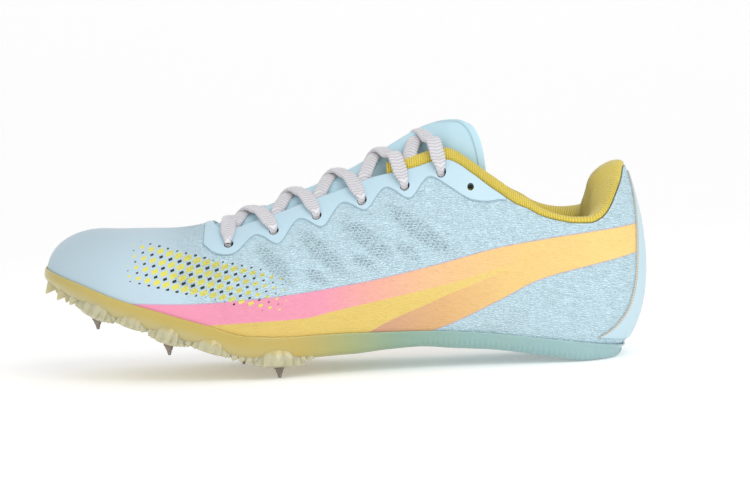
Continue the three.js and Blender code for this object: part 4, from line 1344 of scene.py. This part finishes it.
def lining_sections(wall):
    top = wall.topline()
    pad = pad_at(wall.s)
    over = top + wall.step(top, 0.7)
    depth = lerp(COLLAR_DEPTH, 12, smooth(0.2, 0.4, wall.s / LENGTH))
    low = wall.at_height(lambda s: topline_height(s, wall.side) - depth)
    middle = (low + top) / 2
    edge, beyond = wall.bezier(top), wall.bezier(top + 0.01)
    size = np.hypot(beyond[0] - edge[0], beyond[1] - edge[1])
    upright = lerp(1, 0.35, smooth(0.14, 0.24, wall.s / LENGTH))
    rise = np.array([(beyond[0] - edge[0]) / size * upright, (beyond[1] - edge[1]) / size])
    rise /= np.hypot(*rise)
    heel = 1 - smooth(0.05, 0.17, wall.s / LENGTH)
    high = COLLAR_ROLL * lerp(1, 1.75, smooth(0.14, 0.24, wall.s / LENGTH))

    def roll(inward, up):
        out = edge[0] + rise[0] * up - rise[1] * inward
        return wall.at_reach(out, edge[1] + rise[1] * up + rise[0] * inward)

    points = [
        wall.place(low, LINING_FACE),
        wall.place(middle, LINING_FACE),
        wall.place(over, LINING_FACE),
        wall.place(over, GAP),
        roll(0.1, high * 0.6),
        roll(1.6, high * 1.05),
        roll(LINING_FACE + pad * 0.45, high * 1.05),
        roll(LINING_FACE + pad * 0.95, COLLAR_ROLL * 0.25),
        roll(LINING_FACE + pad * (1.1 + 0.15 * heel), -COLLAR_ROLL * 1.6),
        roll(LINING_FACE + pad * (1.1 + 0.5 * heel), -COLLAR_ROLL * 3.2),
        wall.place(middle, LINING_FACE + pad * (0.85 + 0.8 * heel)),
        wall.place(low, LINING_FACE + 1),
    ]
    return np.stack(points, axis=1)


def tube(sections, fields):
    """A closed tube through rings of equal size, with flat ends."""
    count, size = sections.shape[:2]
    start = np.arange(count - 1)[:, None] * size
    j = np.arange(size)
    ahead = (j + 1) % size
    quads = np.stack([start + j, start + ahead, start + ahead + size, start + j + size], axis=-1)
    faces = quads.reshape(-1, 4).tolist()
    faces.append(j[::-1].tolist())
    faces.append((j + (count - 1) * size).tolist())
    flat = {name: np.broadcast_to(v, (count, size)).reshape(-1) for name, v in fields.items()}
    return sections.reshape(-1, 3), faces, flat


def lining_piece():
    heel = stations(34, 100, 4)
    places = np.append(heel[heel < COLLAR_FRONT - 0.8], COLLAR_FRONT)
    lateral = Wall(places[::-1], LATERAL)
    medial = Wall(places[1:], MEDIAL)
    sections = np.concatenate([lining_sections(lateral), lining_sections(medial)])
    sections = rounded_ring(sections)
    along = lengths_along(sections[:, sections.shape[1] // 2])[:, None]
    rounds = np.linalg.norm(sections - np.roll(sections, 1, axis=1), axis=2)
    fields = {"along": along, "around": np.cumsum(rounds, axis=1)}
    data = tube(sections, fields)
    knit = lining_knit()
    piece = make_piece("collar_lining_knit", data, knit, ["collar_lining"], 60)
    return piece


# The tongue and the insole
def tongue_piece():
    along_steps, across_steps = 110, 40
    back = np.linspace(0, 1, along_steps + 1)[:, None]
    signed = np.linspace(-1, 1, 2 * across_steps + 1)[None, :]
    across = np.abs(signed)
    side = np.where(signed < 0, LATERAL, MEDIAL) * np.ones_like(back)
    turned_back = TONGUE_SLANT * back**2 * (1 - (1 - across**2) ** 6)
    s = lerp(TONGUE_FRONT, TONGUE_BACK, back) - turned_back
    wall = Wall(s, side)
    edge = wall.topline()
    reach = lerp(0.36, 0.46, smooth(0.1, 0.9, back))
    v = 1 - reach * across
    at_lining = smooth(COLLAR_FRONT + 14, COLLAR_FRONT, s)
    dive = lerp(0.5, 0.12, at_lining) + 0.3 * smooth(104, 88, s)
    at_end = smooth(0.6, 0.95, back)
    stand = TONGUE_STAND * at_end
    t = np.clip(((1 - v) / np.maximum(1 - edge, 1e-6) - dive) / 0.42, 0, 1)
    share = np.where(edge == 1, 1, t * t * (3 - 2 * t))
    covered = np.maximum(share, smooth(THROAT_FRONT - 1.5, THROAT_FRONT + 1.5, s))
    under = UPPER_WALL + 1.0 + (pad_at(s) * 1.4 + 3) * at_lining
    inset = lerp(TONGUE_SUNK - stand, under, covered)
    length = (TONGUE_FRONT - TONGUE_BACK) * (1 - back)
    run = lengths_along(wall.place(v, inset), axis=1)
    rim = np.minimum(np.minimum(run, run[:, -1:] - run), length)
    pad = TONGUE_PAD * smooth(0, 9, rim) * at_end
    sink = TONGUE_WALL / 2 * (1 - rounded_rim(rim, 1.0, 1.2))
    outer = wall.place(v, inset - pad + sink)
    inner = wall.place(v, inset + TONGUE_WALL - sink)
    data = sheet(outer, inner, {"edge": rim})
    piece = make_piece("tongue_sheet", data, tongue_fabric(), ["tongue"])
    return piece


def outline_solid(rows_of, places, fields_of):
    """A closed solid over the sole's outline: rows run from the top's centre to the bottom's."""
    grids = []
    for side in (LATERAL, MEDIAL):
        grid = rows_of(Wall(places, side))
        grids.append((side, grid, grid, fields_of(grid)))
    points, _, faces, fields = collect(grids)
    return closed(points, faces, fields)


def rounded_path(path, rounds=2):
    """Corner cutting of open rows, which keeps their two ends."""
    for _ in range(rounds):
        a, b = path[:, :-1], path[:, 1:]
        cut = np.stack([0.75 * a + 0.25 * b, 0.25 * a + 0.75 * b], axis=2)
        inner = cut.reshape(path.shape[0], -1, 3)[:, 1:-1]
        path = np.concatenate([path[:, :1], inner, path[:, -1:]], axis=1)
    return path


def at_outline(wall, reach, height_at):
    """Places in from the sole's edge, at the height that height_at gives."""
    flat = wall.at_reach(reach, np.zeros_like(wall.s))
    return np.stack([flat[:, 0], flat[:, 1], height_at(flat[:, 0])], axis=-1)


def insole_piece():
    round_off = 0.8

    def over(height):
        return lambda s: feather(s) + height

    def rows_of(wall):
        reach = wall.reach - UPPER_WALL - INSOLE_CLEARANCE

        def rim(height):
            return lambda s: np.maximum(feather(s), wall.foot) + height

        inner_shares = (0, 0.25, 0.5, 0.75)
        rows = [at_outline(wall, reach * share, over(INSOLE_WALL)) for share in inner_shares]
        rows += [
            at_outline(wall, reach - round_off, rim(INSOLE_WALL)),
            at_outline(wall, reach, rim(INSOLE_WALL - round_off)),
            at_outline(wall, reach, rim(0)),
            at_outline(wall, reach * 0.5, over(0)),
            at_outline(wall, reach * 0, over(0)),
        ]
        return np.stack(rows, axis=1)

    def fields_of(grid):
        return {"s": grid[..., 0], "across": grid[..., 1]}

    data = outline_solid(rows_of, stations(16, 60, 14), fields_of)
    piece = make_piece("insole_sheet", data, insole_cloth(), ["insole"])
    return piece


# The sole
def sole_bottom(s):
    return np.maximum(0, feather(s) - plate_thickness(s / LENGTH))


def plate_rows(wall):
    at = wall.s / LENGTH
    thickness = wall.foot - sole_bottom(wall.s)
    lip = wall.step(0.001, PLATE_LIP * plate_lip(at))
    proud = PLATE_PROUD * smooth(0.046, 0.12, at)
    tuck = np.minimum(PLATE_TUCK, wall.reach / 3)

    def seat(s):
        return feather(s) - GAP

    rib_depth, rib_pitch = 0.6, 2.4
    ribs = np.sin(girth(wall.s, wall.side[0]) * 2 * math.pi / rib_pitch)
    serration = rib_depth * (0.5 + 0.5 * ribs) * smooth(130, 95, wall.s)
    rows = [
        at_outline(wall, wall.reach * 0, seat),
        at_outline(wall, wall.reach * 0.5, seat),
        wall.at_reach(wall.reach - UPPER_WALL - GAP, wall.foot - GAP),
        wall.at_reach(wall.reach + GAP, wall.foot - GAP),
        wall.place(lip, -0.1),
        wall.place(lip, -0.1 - PLATE_LIP_WALL * 0.8),
        wall.at_reach(wall.reach + PLATE_LIP_WALL + GAP, wall.foot - GAP),
        wall.at_reach(wall.reach + proud, wall.foot - thickness * 0.3),
        wall.at_reach(wall.reach + proud * 0.8 - serration, wall.foot - thickness * 0.62),
        wall.at_reach(wall.reach - serration, wall.foot - thickness * 0.84),
        at_outline(wall, wall.reach - tuck, sole_bottom),
        at_outline(wall, wall.reach * 0.7, sole_bottom),
        at_outline(wall, wall.reach * 0.45, sole_bottom),
        at_outline(wall, wall.reach * 0, sole_bottom),
    ]
    return rounded_path(np.stack(rows, axis=1))


def plate_fields(grid):
    s = grid[..., 0]
    thickness = np.maximum(feather(s) - sole_bottom(s), 1)
    down = np.clip((feather(s) - grid[..., 2]) / thickness, -1, 1)
    return {"s": s, "across": grid[..., 1], "down": down}


def underside_frame(s, y):
    """Turns local points (along, across, up) under the plate into shoe places."""
    reach = 4
    rise = float(sole_bottom(s + reach) - sole_bottom(s - reach))
    tilt = math.atan2(rise, 2 * reach)
    base = np.array([s, y, float(sole_bottom(s))])
    along = np.array([math.cos(tilt), 0, math.sin(tilt)])
    up = np.array([-math.sin(tilt), 0, math.cos(tilt)])
    across = np.array([0, 1, 0])

    def place(points):
        points = np.asarray(points, float)
        return base + points[..., :1] * along + points[..., 1:2] * across + points[..., 2:] * up

    return place


def stud_spot(i):
    s = STUDS["at"][i] * LENGTH
    side = STUDS["side"][i]
    y = float(edge_y(np.array(s), side)) - side * STUDS["inset"][i]
    drop = float(sole_bottom(s)) - PIN_LENGTH if STUDS["stands"][i] else STUDS["drop"][i]
    return s, y, side, drop


def turns(facets):
    """Even angles round a ring."""
    return np.arange(facets) / facets * 2 * math.pi


def squared(value, power):
    """Sine or cosine of a ring that is squared off."""
    return np.sign(value) * np.abs(value) ** power


def stud_fields(sections, tip, rise=0.0):
    return {"tip": tip, "rise": rise, "s": sections[..., 0]}


def stud_block(i):
    """One stud block: its outer face follows the plate's side, and its edge is serrated."""
    facets, teeth = 112, 14
    side_cut, foot_cut = 1.6, 2.2
    s, y, side, drop = stud_spot(i)
    half_long, half_wide = STUDS["length"][i] / 2, STUDS["width"][i] / 2
    outward = STUDS["inset"][i] - half_wide + STUD_PROUD
    angle = turns(facets)
    wave = np.abs((angle * teeth / (2 * math.pi)) % 1 * 2 - 1)
    wave = wave * (0.75 + 0.25 * np.sin(3 * angle + i))
    rings = []
    for up, down, size, depth in zip(*STUD_RINGS.values()):
        radius = size * (1 - side_cut * depth * wave)
        x = half_long * radius * squared(np.cos(angle), 0.8)
        bend = (edge_y(s + x, side) - edge_y(np.array(s), side)) * (1 + side * np.sin(angle)) / 2
        across = (half_wide + outward / 2) * radius * np.sin(angle) + side * outward / 2 + bend
        z = up - down * drop * (1 - foot_cut * depth * wave)
        rings.append(np.stack([x, across, z], axis=-1))
    sections = underside_frame(s, y)(np.stack(rings))
    rise = np.array(STUD_RINGS["up"])[:, None]
    return tube(sections, stud_fields(sections, 0.0, rise))


def tooth(i):
    """A four-sided pointed tooth."""
    facets, squareness = 16, 1.2
    size = TEETH["size"][i]
    s = TEETH["at"][i] * LENGTH
    y = TEETH["across"][i] * BALL_WIDTH
    heights = (2, -0.2, -TOOTH_HEIGHT * size)
    radii = (2.8 * size, 2.4 * size, 0.35)
    angle = turns(facets)
    x, y_out = np.cos(angle), np.sin(angle)
    square = 1 / (np.abs(x) ** squareness + np.abs(y_out) ** squareness) ** (1 / squareness)
    rings = [
        np.stack([r * square * x, r * square * y_out, np.full(facets, z)], axis=-1)
        for r, z in zip(radii, heights)
    ]
    sections = underside_frame(s, y)(np.stack(rings))
    return tube(sections, stud_fields(sections, smooth(0.9, 0.97, TEETH["at"][i])))


def rim_tooth(s, side, half, height, lean):
    """A little tooth under the plate's rim, with its point leaning to the toe."""
    facets, stretch = 12, 1.2
    y = float(edge_y(np.array(s), side)) - side * half
    angle = turns(facets)
    profile = ((1, 2, 0), (0.9, 0, 0), (0.5, -height * 0.5, lean / 2), (0.08, -height, lean))
    rings = []
    for size, up, along in profile:
        x = along + half * stretch * size * np.cos(angle)
        rings.append(np.stack([x, half * size * np.sin(angle), np.full(facets, up)], axis=-1))
    sections = underside_frame(s, y)(np.stack(rings))
    return tube(sections, stud_fields(sections, smooth(262, 275, s)))


def rim_teeth():
    """Teeth all along the plate's rim: small ones between the studs, tall ones at the toe."""
    start, end, pitch = 158, 262, 3.4
    toe_teeth = ((265, 3.2), (271, 4.2), (277, 4.8))
    parts = []
    for side in (LATERAL, MEDIAL):
        for s in np.arange(start, end, pitch):
            height = 1.5 + 0.5 * math.sin(s * 1.7)
            parts.append(rim_tooth(float(s), side, 1.7, height, 0.3))
        for s, height in toe_teeth:
            parts.append(rim_tooth(float(s), side, 2.8, height, 1.6))
    return parts


def sole_piece():
    data = outline_solid(plate_rows, stations(60, 300, 50), plate_fields)
    plate = make_piece("sole_plate", data, moulded_plate(), ["sole"], 70)
    blocks = [stud_block(i) for i in range(len(STUDS["at"]))]
    blocks += [tooth(i) for i in range(len(TEETH["at"]))]
    blocks += rim_teeth()
    studs = make_piece("sole_studs", join(blocks), milky_stud(), ["sole"], 30)
    return plate, studs


# Spikes
def spike_piece(number, i, steel):
    facets = 32
    s, y, _, drop = stud_spot(i)
    seat = np.array([s, y, float(sole_bottom(s)) - drop])
    angle = turns(facets)
    rings = []
    for down, radius in zip(*PIN_PROFILE.values()):
        around = (radius * np.cos(angle), radius * np.sin(angle), np.full(facets, -down))
        rings.append(seat + np.stack(around, axis=-1))
    data = tube(np.stack(rings), {"down": PIN_PROFILE["down"][:, None]})
    name = f"spike_{number}"
    return make_piece(f"{name}_pin", data, steel, [name], 30)


# Laces
def lace_lift(s, side, v, over, outside):
    """How far a lace's middle stands off the last; outside, it passes over the lining's roll."""
    over_eyestay = FILM_GAP + EYESTAY_WALL + LACE_THICKNESS / 2
    edge = float(column(s, side).topline()[0])
    out = 1.0 if edge == 1 else (1 - v) / (1 - edge)
    middle = LACE_THICKNESS / 2 - TONGUE_SUNK + over
    lift = lerp(middle, over_eyestay, float(smooth(0.5, 0.85, out)))
    roll = 2.4 * float(smooth(COLLAR_FRONT + 10, COLLAR_FRONT - 5, s)) if outside else 0
    return lift + roll * math.exp(-(((out - 0.9) / 0.22) ** 2))


def lace_centres(start, end, over, from_inside):
    """Centre points and outward normals of a run between two places (s, reach)."""
    steps = 26
    crossing, start_lift = 0.42, -0.4
    points, normals = [], []
    for t in np.arange(steps + 1) / steps:
        s, reach = lerp(start[0], end[0], t), lerp(start[1], end[1], t)
        side = LATERAL if reach < 0 else MEDIAL
        v = 1 - abs(reach)
        hump = over * math.exp(-(((t - crossing) * 5) ** 2))
        lift = lace_lift(s, side, v, hump, t > 0.5 or not from_inside)
        if from_inside:
            lift = lerp(start_lift, lift, float(smooth(0, 0.25, t)))
        points.append(surface_point(s, side, v, -lift))
        outward = surface_point(s, side, v, -1) - surface_point(s, side, v, 0)
        normals.append(outward / np.linalg.norm(outward))
    return points, normals


def lace_entry(index, side):
    """Where a lace enters its eyelet: at the upper front part of the hole."""
    s, v = eyelet_place(index, side)
    v += float(column(s, side).step(np.array([v]), 0.7)[0])
    return s + 0.4, v


def eyelet_dive(index, side):
    """Points down through an eyelet, from just outside to the inside."""
    s, v = lace_entry(index, side)
    return [surface_point(s, side, v, inset) for inset in (-0.6, 1.2, 3.0)]


def lace_half(index_from, index_to, side_from, over):
    """From inside one eyelet, out under the throat's edge, over the tongue, into the next."""
    inside, at_edge = 2.6, 2.2
    side_to = -side_from
    s_eye, v_eye = eyelet_place(index_from, side_from)
    s = s_eye - LACE_START_BACK
    wall = column(s, side_from)
    top = wall.topline()
    v_edge = float(top[0])
    v_start = float((top + wall.step(top, LACE_START_INSIDE))[0])
    hidden = [
        surface_point(s_eye, side_from, v_eye, inside),
        surface_point((s_eye + s) / 2, side_from, (v_eye + v_edge) / 2, inside),
        surface_point(s, side_from, v_edge, at_edge),
    ]
    s_to, v_to = lace_entry(index_to, side_to)
    start = (s, side_from * (1 - v_start))
    end = (s_to, side_to * (1 - v_to))
    points, normals = lace_centres(start, end, over, True)
    return hidden, points, normals, eyelet_dive(index_to, side_to)


def resample(points, spacing):
    """Even points on a smooth curve through the given ones, and their share of the way."""
    points = np.asarray(points)
    knots = lengths_along(points)
    tangents = np.gradient(points, knots, axis=0)
    count = max(8, int(knots[-1] / spacing))
    run = np.linspace(0, knots[-1], count)
    i = np.clip(np.searchsorted(knots, run, side="right") - 1, 0, len(knots) - 2)
    h = (knots[i + 1] - knots[i])[:, None]
    t = ((run - knots[i]) / h[:, 0])[:, None]
    a, b = points[i], points[i + 1]
    return (
        a * (1 + 2 * t) * (1 - t) ** 2
        + b * (3 - 2 * t) * t**2
        + h * tangents[i] * t * (1 - t) ** 2
        - h * tangents[i + 1] * t**2 * (1 - t)
    ), run, knots


def lace_tube(hidden, points, normals, dive):
    """A braided flat cord along the run: thin where it is hidden, pinched in its eyelet."""
    facets, spacing, relief_height = 28, 0.45, 0.2
    eyelet_width, eyelet_thick = 0.48, 1.15
    start_width, start_thick = (0.9, 0.35) if hidden else (eyelet_width, eyelet_thick)
    path = list(hidden) + list(points) + list(dive)
    normals = [normals[0]] * len(hidden) + list(normals) + [normals[-1]] * len(dive)
    to_dive = len(path) - len(dive)
    middle, run, knots = resample(path, spacing)
    ways = np.gradient(middle, axis=0)
    ways /= np.linalg.norm(ways, axis=1)[:, None]
    shares = np.interp(run, knots, np.arange(len(path)))
    outward = normals_at(np.clip(shares, len(hidden), to_dive - 1), np.array(normals))
    across = np.cross(ways, outward)
    last = int(np.nonzero((shares >= len(hidden)) & (shares <= to_dive - 1))[0][-1])
    across[last:] = across[last]
    across /= np.linalg.norm(across, axis=1)[:, None]
    outward = np.cross(across, ways)
    pinch = smooth(-1, 7.5, knots[to_dive] - run)
    if hidden:
        emerge = smooth(-4, 1, run - knots[len(hidden)])
    else:
        emerge = smooth(-1, 7.5, run - knots[len(dive)])
    width = lerp(eyelet_width, 1, pinch) * lerp(start_width, 1, emerge)
    thick = lerp(eyelet_thick, 1, pinch) * lerp(start_thick, 1, emerge)
    angle = turns(facets)
    x = squared(np.cos(angle), 0.8)
    y = squared(np.sin(angle), 0.75)
    plait = np.sin(2 * math.pi / BRAID_PITCH * run[:, None] + BRAID_SLANT * np.abs(x))
    relief = relief_height * plait * emerge[:, None]
    half_wide = x * (LACE_WIDTH / 2 * width[:, None] + relief)
    half_thick = y * (LACE_THICKNESS / 2 * thick[:, None] + relief)
    sections = middle[:, None] + across[:, None] * half_wide[..., None]
    sections = sections + outward[:, None] * half_thick[..., None]
    return tube(sections, {"along": run[:, None], "across": x[None, :]})


def normals_at(shares, normals):
    """Normals between the numbered ones."""
    lower = np.floor(shares).astype(int)
    upper = np.minimum(lower + 1, len(normals) - 1)
    part = (shares - lower)[:, None]
    return normals[lower] * (1 - part) + normals[upper] * part


def lace_pieces():
    braid = lace_braid()
    entries = [(side, *lace_entry(0, side)) for side in (LATERAL, MEDIAL)]
    start, end = [(s, side * (1 - v)) for side, s, v in entries]
    points, normals = lace_centres(start, end, 0.0, False)
    into = eyelet_dive(0, LATERAL)[::-1]
    bar_normals = [normals[0]] * len(into) + normals
    bar = lace_tube([], into + points, bar_normals, eyelet_dive(0, MEDIAL))
    make_piece("lace_1_braid", bar, braid, ["lace_1"], 60)
    for i in range(1, LACE_CROSSINGS + 1):
        under = lace_tube(*lace_half(i - 1, i, LATERAL, -0.9))
        over = lace_tube(*lace_half(i - 1, i, MEDIAL, 1.1))
        name = f"lace_{i + 1}"
        make_piece(f"{name}_braid", join([under, over]), braid, [name], 60)


# The stage: camera at the photograph's angle, pale floor and soft light
def add_camera():
    pitch, roll = CAMERA_PITCH, CAMERA_ROLL
    right = Vector((math.cos(roll), 0, -math.sin(roll)))
    level_up = Vector((0, math.sin(pitch), math.cos(pitch) * math.cos(roll)))
    up = level_up + Vector((math.cos(pitch) * math.sin(roll), 0, 0))
    data = bpy.data.cameras.new("camera")
    data.lens = CAMERA_LENS
    data.sensor_width = 36
    camera = add_object("camera", data)
    turn = Matrix((right, up, right.cross(up))).transposed().to_4x4()
    camera.matrix_world = Matrix.Translation(Vector(CAMERA_PLACE) * MM) @ turn
    bpy.context.scene.camera = camera


def add_floor():
    """A pale floor that sweeps up behind the shoe."""
    half, front, back, bend, wall, steps = 3.0, -3.0, 1.6, 0.8, 2.2, 16
    profile = [(front, 0.0), (back, 0.0)]
    for i in range(1, steps + 1):
        angle = math.pi / 2 * i / steps
        profile.append((back + bend * math.sin(angle), bend * (1 - math.cos(angle))))
    profile.append((back + bend, wall))
    points = [(x, y, z) for y, z in profile for x in (-half, half)]
    faces = [[2 * i, 2 * i + 1, 2 * i + 3, 2 * i + 2] for i in range(len(profile) - 1)]
    mesh = bpy.data.meshes.new("floor")
    mesh.from_pydata(points, [], faces)
    mesh.shade_smooth()
    shade = {"specular_ior_level": 0.1, "emission_strength": 0.25, "emission_color": "FFFFFF"}
    mesh.materials.append(Shade("floor", roughness=0.8, **shade).finish("F4F4F4"))
    add_object("floor", mesh)


def add_light(name, place, target, size, power):
    data = bpy.data.lights.new(name, "AREA")
    data.size = size
    data.energy = power
    light = add_object(name, data)
    light.location = place
    way = Vector(target) - Vector(place)
    light.rotation_euler = way.to_track_quat("-Z", "Y").to_euler()


def add_world():
    world = bpy.data.worlds.new("studio")
    world.use_nodes = True
    background = world.node_tree.nodes["Background"]
    background.inputs["Color"].default_value = (1.0, 1.0, 1.0, 1.0)
    background.inputs["Strength"].default_value = 0.64
    bpy.context.scene.world = world
    bpy.context.scene.view_settings.view_transform = "Standard"


def add_shoe():
    dark, steel = shaded_hole_wall(), pin_steel()
    lace_pieces()
    upper_piece(dark)
    eyestay_piece(dark)
    heel_strip_piece()
    lining_piece()
    tongue_piece()
    insole_piece()
    sole_piece()
    pinned = [i for i, pin in enumerate(STUDS["pin"]) if pin]
    for number, i in enumerate(pinned, 1):
        spike_piece(number, i, steel)


add_camera()
add_shoe()
add_floor()
add_light("key", (0.7, -1.4, 1.1), (0, 0, 0.04), 1.2, 15)
add_light("fill", (-0.9, -1.2, 0.8), (0, 0, 0.05), 1.4, 3)
add_world()
